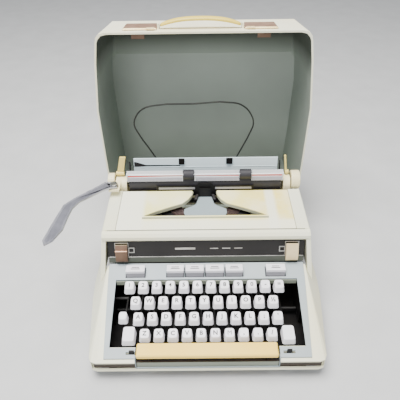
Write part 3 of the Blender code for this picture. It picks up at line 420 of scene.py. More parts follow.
def shade(obj, angle=32.0):
    """Smooth shading between faces that meet at less than angle degrees."""
    select_only(obj)
    bpy.ops.object.shade_smooth_by_angle(angle=math.radians(angle))
    apply_step(obj, "WEIGHTED_NORMAL", keep_sharp=True)
    return obj


def combine(operation, obj, *tools):
    """Cuts the tools out of the piece, or welds them to it."""
    for tool in tools:
        apply_step(obj, "BOOLEAN", operation=operation, object=tool, solver="EXACT")
        bpy.data.objects.remove(tool)
    return obj


def joined(name, *objects):
    """Several shapes made one piece."""
    select_only(*objects)
    bpy.ops.object.join()
    made = bpy.context.object
    made.name = made.data.name = name
    return made


def moved_copy(obj, name, shift, turn=None):
    """A copy with its own mesh, shifted in millimetres."""
    made = bpy.data.objects.new(name, obj.data.copy())
    made.data.transform(Matrix.Translation(Vector(shift) * MM) @ (turn or Matrix.Identity(4)))
    made.data.name = name
    bpy.context.collection.objects.link(made)
    return made


def merged_copy(node, name):
    """A copy of a CAD node's mesh, with its loose triangles merged into flat faces."""
    made = bpy.data.objects.new(name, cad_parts[node].data.copy())
    made.data.name = name
    bpy.context.collection.objects.link(made)
    made.data.materials.clear()
    edit(made, "VERT")
    bpy.ops.mesh.customdata_custom_splitnormals_clear()
    bpy.ops.mesh.select_all(action="SELECT")
    bpy.ops.mesh.remove_doubles(threshold=0.02 * MM)
    bpy.ops.mesh.dissolve_limited(angle_limit=math.radians(0.5))
    done()
    return made


def paint(obj, *names):
    """Gives the piece these finishes; its faces take the first."""
    for name in names:
        obj.data.materials.append(finishes[name])
    return obj


def paint_faces(obj, index, test):
    """Gives the faces whose middle (millimetres) and normal pass the test another of its finishes."""
    for face in obj.data.polygons:
        if test(face.center / MM, face.normal):
            face.material_index = index


def fit(obj, body, slot, *nodes):
    """Lets the piece ride on a body and hides the CAD nodes that it stands for. The slot argument is not
    used.
    """
    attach(obj, body)
    if nodes:
        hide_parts(*nodes)
    return obj


def fit_softened(obj, width, finish, body, slot, *nodes):
    """Rounds the piece's edges by width, paints it and fits it."""
    return fit(paint(soften(obj, width), finish), body, slot, *nodes)


def mm_box(node):
    """The box of a CAD node in millimetres: its lowest and its highest corner."""
    low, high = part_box(node)
    return Vector(low) / MM, Vector(high) / MM


# ---------------------------------------------------------------- casing

def make_case_shells():
    """The lower casing, hood, rear panel and keyboard surround, with their edges rounded as castings are."""
    case = merged_copy("lower_case", "lower_casing_shell")
    round_edges(case, 4.0, lambda a, b: min(a.z, b.z) > 25 and abs(a.y + b.y) < 330, 4, 12.0, 6.0)
    fit(paint(shade(case), "casing"), "machine", "casing_grey_cream", "lower_case")
    hood = merged_copy("hood", "hood_shell")
    round_edges(hood, 1.6, lambda a, b: min(a.z, b.z) > 70, 3, 25.0, 5.0)
    fit(paint(shade(hood), "casing"), "machine", "casing_grey_cream", "hood")
    surround = merged_copy("keyboard_surround", "keyboard_surround_plate")
    round_edges(surround, 0.6, lambda a, b: True, 2, 25.0, 3.0)
    fit(paint(shade(surround), "surround"), "machine", "surround_silver_grey", "keyboard_surround")
    rear = merged_copy("rear_panel", "rear_sheet")
    fit_softened(rear, 0.6, "casing", "machine", "casing_grey_cream", "rear_panel")


LID_MIDDLE = Vector((0, 230, 200))     # a point well inside the lid


def make_lid():
    """The lid: enamelled outside, lined with grey-green paint inside."""
    lid = merged_copy("lid_shell", "lid_pressing")
    round_edges(lid, 1.0, lambda a, b: True, 2, 25.0, 4.0)
    shade(lid)
    paint(lid, "lid", "lid_inside")
    paint_faces(lid, 1, lambda at, normal: normal.dot(LID_MIDDLE - at) > 8 and at.y > 160)
    fit(lid, "lid", "lid_enamel", "lid_shell")


def make_ribbon_cover():
    """The cover plate with its edges rounded."""
    cover = merged_copy("ribbon_cover", "ribbon_cover_plate")
    round_edges(cover, 0.9, lambda a, b: True, 3, 25.0, 2.0)
    fit(paint(shade(cover), "cover"), "ribbon_cover", "cover_yellowed_cream", "ribbon_cover")


# ---------------------------------------------------------------- keys

PITCH, FIRST_KEY = 19.5, -110.6
KEY_ROWS = {           # node: (legends, x of the first key, y, height of its top, pivot y, pivot z)
    "key_row_numbers": ("1234567890-=", FIRST_KEY, -71.7, 81.0, -20.0, 63.0),
    "key_row_upper": ("QWERTYUIOP½", FIRST_KEY + 0.50 * PITCH, -91.0, 70.0, -8.0, 53.0),
    "key_row_home": ("ASDFGHJKL;'", FIRST_KEY + 0.75 * PITCH, -110.5, 59.0, 4.0, 43.0),
    "key_row_lower": ("ZXCVBNM,./", FIRST_KEY + 1.25 * PITCH, -130.0, 48.0, 16.0, 33.0),
}
CAP_SIDE, CAP_HEIGHT, CAP_TILT = 15.4, 10.5, 1.7
CAP_TAPER = 2.4        # how much narrower a keytop is at the top than at its foot
CAP_CORNER, CAP_RIM = 3.2, 0.9
CAP_DISH = ((0.35, 0.6), (0.55, 0.3), (0.8, -0.15), (0.6, -0.15))    # (step inwards, rise) from rim to dish
LEGEND_SIZE, LEGEND_DROP, LEGEND_WEIGHT = 8.6, 0.22, 0.22
LEVER_DROP = 19.5      # from a keytop down to the middle of its lever
STEM_DROP = 5.0        # from a keytop down to the top of its stem
PIVOT_RADIUS, PIVOT_LENGTH = 2.5, 274.0
SHIFT_KEYTOPS = (("shift_keytop_left", -108.0), ("shift_keytop_right", 111.5))
SHIFT_Y, SHIFT_TOP, SHIFT_SIZE = -130.5, 48.0, (18.5, 24.0)
LOCK_X, LOCK_Y, LOCK_TOP, LOCK_SIDE = -117.5, -108.5, 59.5, 13.5
LOCK_PIVOT_Y, LOCK_PIVOT_Z = -60.0, 40.0


def make_cap(name, width, depth):
    """One keytop under the origin: narrower at the top, leaning to the typist, with a shallow dish."""
    cap = block(name, (-width / 2, -depth / 2, -CAP_HEIGHT), (width / 2, depth / 2, -CAP_RIM))
    edit(cap)
    pick_faces(cap, lambda at, normal: normal.z > 0.9)
    bpy.ops.transform.resize(value=(1 - CAP_TAPER / width, 1 - CAP_TAPER / depth, 1),
                             center_override=(0, 0, 0))
    done()
    for side in (-1, 1):
        edit(cap, "EDGE")
        pick_edges(cap, lambda a, b: min(a.z, b.z) > -2 and min(side * a.y, side * b.y) > 1)
        bpy.ops.transform.translate(value=(0, 0, side * CAP_TILT * MM))
        done()
    round_edges(cap, CAP_CORNER, lambda a, b: abs(a.z - b.z) > 6, 4)
    for inset, rise in CAP_DISH:
        edit(cap)
        pick_faces(cap, lambda at, normal: normal.z > 0.9 and abs(at.x) < 1 and abs(at.y) < 1)
        bpy.ops.mesh.inset(thickness=inset * MM)
        pick_faces(cap, lambda at, normal: normal.z > 0.9 and abs(at.x) < 1 and abs(at.y) < 1)
        bpy.ops.transform.translate(value=(0, 0, rise * MM))
        done()
    return shade(cap, 50)


def make_legend(text, centre):
    """One printed sign, laid on the tilted top of a key. A thickened M would fill itself in."""
    sign = bpy.data.curves.new("legend", "FONT")
    sign.body, sign.size, sign.extrude, sign.resolution_u = text, LEGEND_SIZE * MM, 0.05 * MM, 3
    sign.offset = 0.0 if text == "M" else LEGEND_WEIGHT * MM
    sign.align_x, sign.align_y = "CENTER", "CENTER"
    made = bpy.data.objects.new("legend", sign)
    bpy.context.collection.objects.link(made)
    select_only(made)
    bpy.ops.object.convert(target="MESH")
    made = bpy.context.object
    lean = Matrix.Rotation(math.atan2(CAP_TILT * 2, CAP_SIDE - CAP_TAPER), 4, "X")
    made.data.transform(Matrix.Translation(Vector(centre) * MM) @ lean)
    return paint(made, "legend")


def make_lever(name, x, y, lever_z, stem_top, pivot_y, pivot_z):
    """A flat key lever from under the keytop to the pivot bar, with a stem up to the keytop."""
    lever = block(name, (x - 1, y - 2.5, lever_z - 2), (x + 1, pivot_y, lever_z + 2))
    edit(lever)
    pick_faces(lever, lambda at, normal: normal.y > 0.9)
    bpy.ops.transform.translate(value=(0, 0, (pivot_z - lever_z) * MM))
    done()
    stem = block(name + "_stem", (x - 1, y - 2.5, lever_z), (x + 1, y + 2.5, stem_top))
    return joined(name, lever, stem)


def make_key_rows():
    """Every keytop with its sign, and one piece for the levers and the pivot bar of each row."""
    cap = make_cap("keytop", CAP_SIDE, CAP_SIDE)
    for node, (signs, first, y, top, pivot_y, pivot_z) in KEY_ROWS.items():
        row = node.removeprefix("key_row_")
        levers = [turning("bar", (0, pivot_y, pivot_z), PIVOT_RADIUS, PIVOT_LENGTH, "x", 20)]
        for i, sign in enumerate(signs):
            x = first + PITCH * i
            key = paint(moved_copy(cap, f"keytop_{row}_{i + 1}", (x, y, top)), "key")
            key = joined(key.name, key, make_legend(sign, (x, y - 0.2, top - LEGEND_DROP)))
            fit(key, node, "key_white")
            levers.append(make_lever("lever", x, y, top - LEVER_DROP, top - STEM_DROP, pivot_y, pivot_z))
        fit(paint(joined(f"levers_{row}", *levers), "lever"), node, "key_white", node)
    bpy.data.objects.remove(cap)


def make_special_keys():
    """Shift, shift lock and the six keys behind the keyboard."""
    levers = merged_copy("shift_keys", "shift_levers")
    above = block("above", (-130, -150, 37.0), (130, -112, 60))
    fit(paint(combine("DIFFERENCE", levers, above), "lever"), "shift_keys", "key_white", "shift_keys")
    for name, x in SHIFT_KEYTOPS:
        cap = make_cap(name, *SHIFT_SIZE)
        cap.data.transform(Matrix.Translation(Vector((x, SHIFT_Y, SHIFT_TOP)) * MM))
        fit(paint(cap, "key"), "shift_keys", "key_white")
    cap = make_cap("shift_lock_keytop", LOCK_SIDE, LOCK_SIDE)
    cap.data.transform(Matrix.Translation(Vector((LOCK_X, LOCK_Y, LOCK_TOP)) * MM))
    fit(paint(cap, "key"), "shift_lock", "key_white")
    lever = make_lever("shift_lock_lever", LOCK_X, LOCK_Y, LOCK_TOP - LEVER_DROP, LOCK_TOP - STEM_DROP - 0.5,
                       LOCK_PIVOT_Y, LOCK_PIVOT_Z)
    bar = turning("bar", (-126.8, LOCK_PIVOT_Y, LOCK_PIVOT_Z), PIVOT_RADIUS, 20.4, "x", 20)
    fit(paint(joined("shift_lock_lever", lever, bar), "lever"), "shift_lock", "key_white", "shift_lock")
    for node in [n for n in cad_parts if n.startswith("panel_key_")]:
        low, high = mm_box(node)
        middle = 0.5 * (low + high)
        body = block(node + "_body", (low.x + 0.5, low.y + 0.5, low.z),
                     (high.x - 0.5, high.y - 0.5, high.z - 3))
        top = block(node + "_top", (low.x, low.y, high.z - 5.5), high)
        soften(body, 0.5)
        soften(top, 1.1, 4)
        edit(top)
        pick_faces(top, lambda at, normal: normal.z > 0.99)
        bpy.ops.mesh.inset(thickness=1.2 * MM)
        bpy.ops.transform.translate(value=(0, 0, -0.25 * MM))
        done()
        marks = []
        for step, reach in ((1.6, 5.5), (-1.6, 6.5)):
            marks.append(block("mark", (middle.x - reach, middle.y + step - 0.7, high.z - 0.4),
                               (middle.x + reach, middle.y + step + 0.7, high.z - 0.15)))
        paint(body, "key_grey")
        paint(top, "key")
        for mark in marks:
            paint(mark, "legend")
        fit(joined(node + "_cap", top, body, *marks), node, "key_white", node)


def make_space_bar():
    """The bar itself is cream plastic; its arms below are lacquered."""
    bar = merged_copy("space_bar", "space_bar_moulding")
    paint(bar, "space", "lever")
    paint_faces(bar, 1, lambda at, normal: at.z < 37.5)
    round_edges(bar, 0.9, lambda a, b: min(a.z, b.z) > 37.9, 3, 20.0, 2.0)
    fit(shade(bar), "space_bar", "space_bar_cream", "space_bar")


# ---------------------------------------------------------------- keyboard surround and front

def make_keyboard_trim():
    """The grey lining behind the number keys, and the frame, lip and dark trim around the space bar."""
    lining = block("well_rear_lining", (-132.4, -57.6, 66.0), (132.4, -56.0, 73.2))
    fit_softened(lining, 0.4, "sage", "machine", "casing_grey_cream")
    for side in (-1, 1):
        frame_end = block("notch_frame_" + SIDE_NAMES[side],
                          (side * 96.9 - 0.5, -163.6, 16.0), (side * 96.9 + 0.5, -156.2, 36.0))
        fit_softened(frame_end, 0.3, "surround", "machine", "surround_silver_grey")
    lip = block("recess_lower_trim", (-96.0, -163.4, 15.6), (96.0, -161.8, 18.2))
    fit_softened(lip, 0.5, "surround", "machine", "surround_silver_grey")
    plate = block("recess_back_plate", (-95.6, -161.8, 17.6), (95.6, -161.3, 27.0))
    fit_softened(plate, 0.2, "sage", "machine", "casing_grey_cream")
    strip = merged_copy("front_strip", "front_trim_strip")
    fit_softened(strip, 0.3, "strip", "machine", "strip_brown", "front_strip")
    for node in ("ribbon_selector", "touch_lever"):
        tip = merged_copy(node, node + "_tip")
        fit_softened(tip, 0.5, "black", node, "blackened_steel", node)


# ---------------------------------------------------------------- name panel

def lay(obj, low_point, high_point):
    """Turns a piece drawn upright, so that it lies on the slope from low_point to high_point (y, z)."""
    lean = math.atan2(high_point[0] - low_point[0], high_point[1] - low_point[1])
    place = Matrix.Translation(Vector((0, *low_point)) * MM)
    obj.data.transform(place @ Matrix.Rotation(-lean, 4, "X"))
    return obj


PANEL_LOW, PANEL_HIGH = (-30.2, 85.4), (-21.2, 122.2)
PANEL_HALF, PANEL_LENGTH = 145.5, 37.8
FOOT_TOP = 9.6         # up the panel's slope to the bright bead


def fit_on_panel(obj, width, finish, slot, *nodes):
    """Softens a piece drawn upright, lays it on the name panel's slope and fits it to the machine."""
    return fit(paint(lay(soften(obj, width), PANEL_LOW, PANEL_HIGH), finish), "machine", slot, *nodes)


def make_name_panel():
    """The dark panel with its foot strip in painted shade, bead, blank badge and dashes, and its two framed
    latches.
    """
    lower = [(-PANEL_HALF, 0), (PANEL_HALF, 0), (PANEL_HALF, FOOT_TOP), (-PANEL_HALF, FOOT_TOP)]
    # The foot strip takes the darker sage: painted shade at the panel's foot.
    low_face = outline_slab("panel_foot_strip", lower, 0, 2.2, "y")
    fit_on_panel(low_face, 0.3, "foot_strip", "casing_grey_cream")
    upper = [(-PANEL_HALF, FOOT_TOP), (PANEL_HALF, FOOT_TOP), (PANEL_HALF, PANEL_LENGTH),
             (-PANEL_HALF, PANEL_LENGTH)]
    face = outline_slab("name_panel_face", upper, 0.5, 2.3, "y")
    fit_on_panel(face, 0.3, "panel", "panel_dark_brown", "name_panel")
    bead = block("panel_bead", (-145.3, -0.5, FOOT_TOP - 0.5), (145.3, 0.7, FOOT_TOP + 0.4))
    fit_on_panel(bead, 0.25, "steel", "bright_steel")
    badge = block("blank_badge", (-46, 0.1, 21.0), (-16, 0.6, 24.0))
    fit_on_panel(badge, 0.2, "steel", "bright_steel")
    for i, x in enumerate((12.0, 30.0, 48.0)):
        dash = block(f"panel_dash_{i + 1}", (x - 6, 0.1, 21.9), (x + 6, 0.6, 23.1))
        fit_on_panel(dash, 0.2, "steel", "bright_steel")
    for side, node in ((-1, "panel_latch_left"), (1, "panel_latch_right")):
        low, high = mm_box(node)
        tab_low, tab_high = (high.x + 0.8, high.x + 9.8) if side < 0 else (low.x - 9.8, low.x - 0.8)
        window = block("latch_frame_" + SIDE_NAMES[side],
                       (low.x - 1.2, -0.6, FOOT_TOP + 1.6), (high.x + 1.2, 0.9, 33.6))
        hole = block("hole", (low.x - 0.3, -5, FOOT_TOP + 2.6), (high.x + 0.3, 5, 32.6))
        combine("DIFFERENCE", window, hole)
        small = block("small", (tab_low, -0.6, 16.6), (tab_high, 0.9, 25.4))
        combine("DIFFERENCE", small, block("hole", (tab_low + 1.3, -5, 18.0), (tab_high - 1.3, 5, 24.0)))
        trim = joined(window.name, window, small)
        fit(paint(lay(trim, PANEL_LOW, PANEL_HIGH), "steel"), "machine", "bright_steel")
        # Painted shade: a near-black sheet stands for the shadow inside each latch tab's slot.
        dark = block("latch_slot_" + SIDE_NAMES[side],
                     (tab_low + 1.2, 0.1, 17.8), (tab_high - 1.2, 0.55, 24.2))
        fit(paint(lay(dark, PANEL_LOW, PANEL_HIGH), "void"), "machine", "blackened_steel")
        flap = merged_copy(node, node + "_flap")
        soften(flap, 0.6)
        paint(flap, "copper_cream", "dark_copper")
        # On the left latch, faces turned away from the top take dark copper as painted shade, and a copper
        # rod across the flap stands for a painted highlight.
        if side < 0:
            paint_faces(flap, 1, lambda at, normal: normal.z < 0.75)
            bar = turning("bar", (0.5 * (low.x + high.x), -31.6, 109.0), 1.2, high.x - low.x - 0.6, "x", 16)
            flap = joined(flap.name, flap, paint(bar, "copper"))
        fit(flap, node, "latch_copper", node)


# ---------------------------------------------------------------- ribbon cover opening and type basket

COVER_SLOPE = (-13.5, 135.0), (76.0, 141.8)
OPENING_EDGES = {      # (x, y) along the two slanting edges of the opening
    "right": ((91.0, 12.5), (92.0, 17.5), (75.0, 27.0), (52.0, 37.5), (34.0, 45.0), (24.5, 55.0),
              (19.5, 66.0), (18.0, 75.5)),
    "left": ((-19.0, 75.5), (-21.0, 66.0), (-27.0, 55.0), (-36.5, 45.0), (-55.0, 37.0), (-77.0, 27.0),
             (-93.5, 17.5)),
}


def cover_z(y):
    """Height of the ribbon cover's top at y."""
    (low_y, low_z), (high_y, high_z) = COVER_SLOPE
    return low_z + (high_z - low_z) * (y - low_y) / (high_y - low_y)


def wall_along(name, path, thickness, top, bottom):
    """A wall of even thickness under the cover along a path, on its right-hand side."""
    inner = [Vector(p) for p in path]
    outer = []
    for i, point in enumerate(inner):
        before, after = inner[max(i - 1, 0)], inner[min(i + 1, len(inner) - 1)]
        along = (after - before).normalized()
        outer.append(point + Vector((along.y, -along.x)) * thickness)
    outline = [tuple(p) for p in inner + outer[::-1]]
    wall = outline_slab(name, outline, bottom, top)
    for vertex in wall.data.vertices:
        vertex.co.z += cover_z(vertex.co.y / MM) * MM
    return wall


def make_cover_details():
    """The skirts along the opening, the raised lip in front of it, and a dark strip of painted shadow in the
    cover's front seam.
    """
    for side, path in OPENING_EDGES.items():
        wall = wall_along("opening_wall_" + side, path, 1.3, -2.0, -6.6)
        fit(paint(shade(wall), "skirt"), "ribbon_cover", "cover_yellowed_cream")
    lip = block("opening_front_lip", (-96.0, 9.2, cover_z(11) - 3.0), (95.0, 11.8, cover_z(11) + 3.6))
    edit(lip)
    pick_faces(lip, lambda at, normal: normal.z > 0.9)
    bpy.ops.transform.translate(value=(0, 0.8 * MM, 0))
    done()
    soften(lip, 0.5)
    paint(lip, "cover", "skirt")
    paint_faces(lip, 1, lambda at, normal: normal.y < -0.85)
    fit(lip, "ribbon_cover", "cover_yellowed_cream")
    # Painted shadow: a dark strip in the seam between the cover and the hood's band.
    bead = block("cover_seam_painted_shadow", (-145.2, -15.0, 131.5), (145.2, -13.0, 134.3))
    fit_softened(bead, 0.4, "foot_strip", "machine", "casing_grey_cream")


BASKET_Y = 68.0        # centre of the arc on which the type bars lie
TYPE_BARS, FIRST_ANGLE, SWEEP = 44, -156, 132
HORN_X, HORN_SPREAD = 12.6, 2.8


def make_type_basket():
    """The ring of type bars, the shield they rest on with its rim, and the guide behind it."""
    basket = merged_copy("type_basket", "type_bar_segment")
    # Painted shade: the alloy basket, deep in the machine's shade, is painted near-black.
    fit(paint(basket, "void"), "type_basket", "basket_alloy", "type_basket")
    bars = []
    for i in range(TYPE_BARS):
        angle = math.radians(FIRST_ANGLE + SWEEP * i / (TYPE_BARS - 1))
        bar = block("bar", (41.0, -0.6, 125.2), (60.0, 0.6, 127.6))
        edit(bar)
        pick_faces(bar, lambda at, normal: normal.x > 0.9)
        bpy.ops.mesh.inset(thickness=0.2 * MM)
        bpy.ops.mesh.extrude_region_move(TRANSFORM_OT_translate={"value": (1.0 * MM, 0, 0)})
        done()
        bar.data.transform(Matrix.Translation(Vector((0, BASKET_Y, 0)) * MM) @ Matrix.Rotation(angle, 4, "Z"))
        bars.append(bar)
    fit(paint(joined("type_bars", *bars), "type_steel"), "type_basket", "basket_alloy")
    shield = merged_copy("type_shield", "type_rest_shield")
    round_edges(shield, 0.7, lambda a, b: min(a.z, b.z) > 127, 3, 30.0)
    edit(shield)
    pick_faces(shield, lambda at, normal: normal.z > 0.9)
    bpy.ops.mesh.inset(thickness=2.0 * MM)
    bpy.ops.transform.translate(value=(0, 0, 0.5 * MM))
    bpy.ops.mesh.inset(thickness=5.0 * MM)
    bpy.ops.transform.translate(value=(0, 0, 0.6 * MM))
    done()
    fit(paint(shade(shield), "shield"), "machine", "shield_blue_grey", "type_shield")
    rim = [(-26.8, 15.2), (26.8, 15.2), (33.0, 33), (32.4, 42), (18, 47.5), (-18, 47.5), (-32.4, 42),
           (-33.0, 33)]
    fit(paint(outline_slab("type_rest_rim", rim, 127.0, 127.9), "dark_copper"), "machine", "basket_alloy")
    for side in (-1, 1):
        x = HORN_X * side
        horn = block("type_guide_horn_" + SIDE_NAMES[side], (x - 2.6, 62.5, 129.5), (x + 2.6, 73.2, 137.0))
        edit(horn)
        pick_faces(horn, lambda at, normal: normal.y < -0.9)
        bpy.ops.transform.translate(value=(HORN_SPREAD * side * MM, 0, -3.0 * MM))
        done()
        fit_softened(horn, 1.0, "black", "machine", "blackened_steel")
    # Painted shade: a near-black disc stands for the shadowed hole of the type guide.
    hole = turning("guide_hole", (0, 66.0, 130.4), 2.6, 1.0, "z", 24)
    fit_softened(hole, 0.2, "void", "machine", "blackened_steel")


def make_card_guide():
    """The card guide with a light grey pane in each of its two windows, a painted reflection standing for the
    light on their clear plastic.
    """
    guide = merged_copy("card_guide", "card_guide_plate")
    fit_softened(guide, 0.3, "black", "machine", "blackened_steel", "card_guide")
    for side in (-1, 1):
        low, high = sorted((side * 16.2, side * 74.8))
        # Painted reflection: the light grey pane stands for the light reflected on the clear window.
        pane = block("card_pane_" + SIDE_NAMES[side], (low, 77.4, 143.2), (high, 78.2, 147.3))
        fit_softened(pane, 0.25, "pane", "machine", "bright_steel")


# ---------------------------------------------------------------- carriage

TABLE_LOW, TABLE_HIGH = (114.5, 140.0), (121.0, 176.0)     # (y, z) of the paper table's front face
PLATEN_Y, PLATEN_Z = 96.0, 148.0
BAIL_LOW, BAIL_HIGH = (79.4, 158.0), (83.2, 175.1)         # (y, z) of the bail strip's front face
BAIL_LINE = 9.6        # up that face to the middle of the red line
BAIL_STRETCHES = (     # (left x, right x, the red line's height at the left and at the right)
    (-123.6, -36.5, 3.6, 1.0), (-14.5, 54.0, 0.8, 2.6), (75.0, 123.0, 3.0, 3.4))


def make_carriage():
    """The carriage, its table with rib and a slot drawn as a near-black inlay of painted shade, its clips and
    small levers, and two black end plates.
    """
    for node, width, finish, slot in (
            ("carriage_frame", 1.2, "knob", "knob_cream"), ("paper_table", 0.5, "table", "table_pale_blue"),
            ("margin_clip_left", 0.5, "black", "blackened_steel"),
            ("margin_clip_right", 0.5, "black", "blackened_steel"),
            ("paper_release_lever", 0.5, "ear", "knob_cream"),
            ("carriage_release_lever", 0.4, "ear", "knob_cream")):
        piece = merged_copy(node, node + "_shape")
        body = "carriage" if node in ("carriage_frame", "paper_table") else node
        round_edges(piece, width, lambda a, b: True, 3, 30.0, 1.5)
        fit(paint(shade(piece), finish), body, slot, node)
    slot_outline = [(-117.2, 21.4), (-117.2, 30.6), (-114, 30.4), (-97.5, 25.0), (-41.0, 24.4), (-41.0, 22.6),
                    (-97.5, 22.4)]
    # Painted shade: a near-black sheet stands for the shadow inside the paper table's slot.
    slot = outline_slab("table_slot", slot_outline, -0.25, 0.2, "y")
    fit(paint(lay(slot, TABLE_LOW, TABLE_HIGH), "void"), "carriage", "blackened_steel")
    rib = block("table_rib", (-117.4, -0.5, 20.6), (120.4, 0.3, 21.6))
    fit(paint(lay(soften(rib, 0.25), TABLE_LOW, TABLE_HIGH), "table"), "carriage", "table_pale_blue")
    for side in (-1, 1):
        plate = outline_slab("carriage_end_plate_" + SIDE_NAMES[side],
                             [(102.0, 129.5), (113.0, 129.5), (119.5, 170.0), (116.5, 173.0), (108.0, 158.0)],
                             side * 123.2, side * 124.6, "x")
        fit_softened(plate, 0.3, "black", "carriage", "blackened_steel")


def make_platen():
    """The rubber roller on its shaft, and a grooved knob at each end."""
    roller = turning("platen_rubber", (0, PLATEN_Y, PLATEN_Z), 16.0, 245.0, "x", 72)
    fit_softened(roller, 0.8, "rubber", "platen", "rubber_dark", "platen")
    shaft = turning("platen_shaft", (-3.2, PLATEN_Y, PLATEN_Z), 4.0, 286.0, "x", 32)
    fit(paint(shaft, "steel"), "platen", "bright_steel")
    for node in ("platen_knob_left", "platen_knob_right"):
        low, high = mm_box(node)
        radius, middle = 0.5 * (high.z - low.z), 0.5 * (low + high)
        knob = turning(node + "_grip", middle, radius, high.x - low.x, "x", 64)
        round_edges(knob, 1.6, lambda a, b: abs(a.x - b.x) < 0.1, 4)
        edit(knob)
        pick_faces(knob, lambda at, normal: abs(normal.x) > 0.95)
        bpy.ops.mesh.inset(thickness=3.0 * MM)
        done()
        edit(knob)
        pick_faces(knob, lambda at, normal: abs(normal.x) > 0.95 and (at.yz - middle.yz).length < 1.0)
        bpy.ops.mesh.extrude_region_shrink_fatten(TRANSFORM_OT_shrink_fatten={"value": -1.0 * MM})
        done()
        grooves = []
        for i in range(24):
            turn = 2 * math.pi * i / 24
            cutter = turning("groove", (middle.x, radius + 0.3, 0), 0.7, high.x - low.x - 5.0, "x", 8)
            spin = Matrix.Translation(Vector((0, middle.y, middle.z)) * MM) @ Matrix.Rotation(turn, 4, "X")
            cutter.data.transform(spin)
            grooves.append(cutter)
        combine("DIFFERENCE", knob, joined("grooves", *grooves))
        fit(paint(shade(knob, 40), "knob"), "platen", "knob_cream", node)


def make_bail():
    """The clear-faced strip with its red line, and two rubber rollers."""
    bail = merged_copy("paper_bail", "paper_bail_strip")
    fit_softened(bail, 0.25, "bail", "paper_bail", "bail_strip", "paper_bail")
    for i, (left, right, left_height, right_height) in enumerate(BAIL_STRETCHES):
        outline = [(left, BAIL_LINE - left_height / 2), (right, BAIL_LINE - right_height / 2),
                   (right, BAIL_LINE + right_height / 2), (left, BAIL_LINE + left_height / 2)]
        line = outline_slab(f"bail_red_line_{i + 1}", outline, -0.25, 0.15, "y")
        fit(paint(lay(line, BAIL_LOW, BAIL_HIGH), "red"), "paper_bail", "bail_strip")
        foot = block(f"bail_foot_{i + 1}", (left - 0.4, -0.3, 0.4), (right + 0.4, 0.2, 6.4))
        fit(paint(lay(soften(foot, 0.2), BAIL_LOW, BAIL_HIGH), "bail_grey"), "paper_bail", "bail_strip")
    for node in ("bail_roller_left", "bail_roller_right"):
        piece = merged_copy(node, node + "_tyre")
        round_edges(piece, 1.0, lambda a, b: abs(a.x - b.x) < 0.1, 3, 40.0)
        fit(paint(shade(piece, 50), "rubber"), node, "rubber_dark", node)


def make_return_lever():
    """The pressed lever with its raised rim, whose top faces carry a painted highlight in paler aluminium, on
    its hub.
    """
    blade = merged_copy("line_space_lever", "return_lever_blade")
    round_edges(blade, 0.4, lambda a, b: True, 2, 30.0, 1.0)
    paint(blade, "alloy", "alloy_highlight")
    edit(blade)
    pick_faces(blade, lambda at, normal: normal.z > 0.95)
    bpy.ops.mesh.inset(thickness=3.2 * MM)
    bpy.ops.transform.translate(value=(0, 0, -0.7 * MM))
    done()
    top = max(v.co.z for v in blade.data.vertices) / MM
    # Painted highlight: the rim's upward faces take the paler aluminium.
    paint_faces(blade, 1, lambda at, normal: at.z > top - 0.45 and normal.z > 0.5)
    fit(shade(blade), "line_space_lever", "lever_silver", "line_space_lever")
    hub = merged_copy("lever_hub", "lever_hub_turning")
    fit_softened(hub, 0.3, "steel", "lever_hub", "bright_steel", "lever_hub")


# ---------------------------------------------------------------- lid furniture

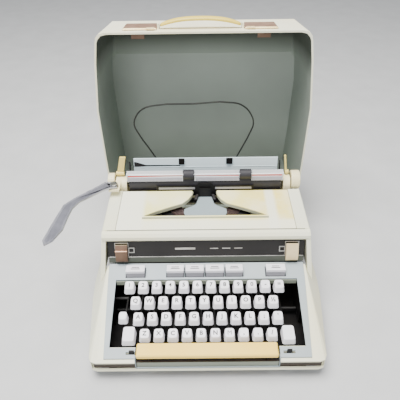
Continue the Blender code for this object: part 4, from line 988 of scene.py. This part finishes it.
def make_lid_furniture():
    """Handle, latches with their buckles, catches and rivets inside the lid, and the hinge."""
    handle = merged_copy("handle", "carrying_handle")
    apply_step(handle, "SUBSURF", levels=2, render_levels=2)
    fit(paint(shade(handle, 60), "handle"), "handle", "cover_yellowed_cream", "handle")
    for node in ("lid_latch_left", "lid_latch_right"):
        low, high = mm_box(node)
        plate = merged_copy(node, node + "_plate")
        round_edges(plate, 0.5, lambda a, b: True, 2, 12.0, 2.0)
        paint(plate, "copper", "copper_cream")
        paint_faces(plate, 1, lambda at, normal: at.y < low.y + 12)
        inner = high.x - 9 if node.endswith("left") else low.x + 9
        buckle = block("buckle", (inner - 6, low.y - 3.2, high.z - 1.6),
                       (inner + 6, low.y + 2.6, high.z + 1.0))
        soften(buckle, 0.6)
        fit(joined(plate.name, shade(plate), paint(buckle, "copper_cream")), node, "latch_copper", node)
        # Painted shadow: a near-black strip stands for the shade in the gap under the buckle.
        dark = block(node.replace("latch", "buckle_painted_shadow"), (inner - 8, low.y - 1.6, low.z - 0.1),
                     (inner + 8, low.y - 0.2, low.z + 1.6))
        fit_softened(dark, 0.3, "void", "lid", "blackened_steel")
    for side in (-1, 1):
        x = -98.0 if side < 0 else 92.0
        plate = block("catch_plate_" + SIDE_NAMES[side], (x - 13, 166, 363.2), (x + 13, 184, 364.4))
        hook = block("hook", (x - 11, 170, 355.5), (x + 9, 171.4, 364.0))
        edit(hook)
        pick_faces(hook, lambda at, normal: normal.z < -0.9)
        bpy.ops.mesh.extrude_region_move(TRANSFORM_OT_translate={"value": (0, 5 * MM, -1.5 * MM)})
        done()
        plate = joined(plate.name, soften(plate, 0.3), soften(hook, 0.4))
        fit(paint(plate, "dark_copper"), "lid", "latch_copper")
        rivet = turning("catch_rivet_" + SIDE_NAMES[side], (x + side * -32, 176, 363.6), 3.0, 2.2, "z", 24)
        fit_softened(rivet, 0.6, "lid_inside", "lid", "lid_enamel")
    for node, body in (("hinge_leaf", "hinge_leaf"), ("hinge_base", "machine")):
        piece = merged_copy(node, node + "_plates")
        fit_softened(piece, 0.3, "steel", body, "bright_steel", node)


def dress_nodes():
    """Gives the CAD nodes that stay as they are their finishes."""
    plain = {
        "black": ("base_pan", "side_frame_left", "side_frame_right", "ribbon_spool_left",
                  "ribbon_spool_right", "ribbon_vibrator"),
        "steel": ("carriage_rail", "mainspring_drum"),
        "rubber": ("foot_front_left", "foot_front_right", "foot_rear_left", "foot_rear_right"),
        "wire": ("paper_support",),
    }
    for name, nodes in plain.items():
        for node in nodes:
            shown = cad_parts[node]
            shown.data.materials.clear()
            shown.data.materials.append(finishes[name])


finishes = make_finishes()
make_studio()
make_camera()
dress_nodes()
make_case_shells()
make_lid()
make_ribbon_cover()
make_key_rows()
make_special_keys()
make_space_bar()
make_keyboard_trim()
make_name_panel()
make_cover_details()
make_type_basket()
make_card_guide()
make_carriage()
make_platen()
make_bail()
make_return_lever()
make_lid_furniture()
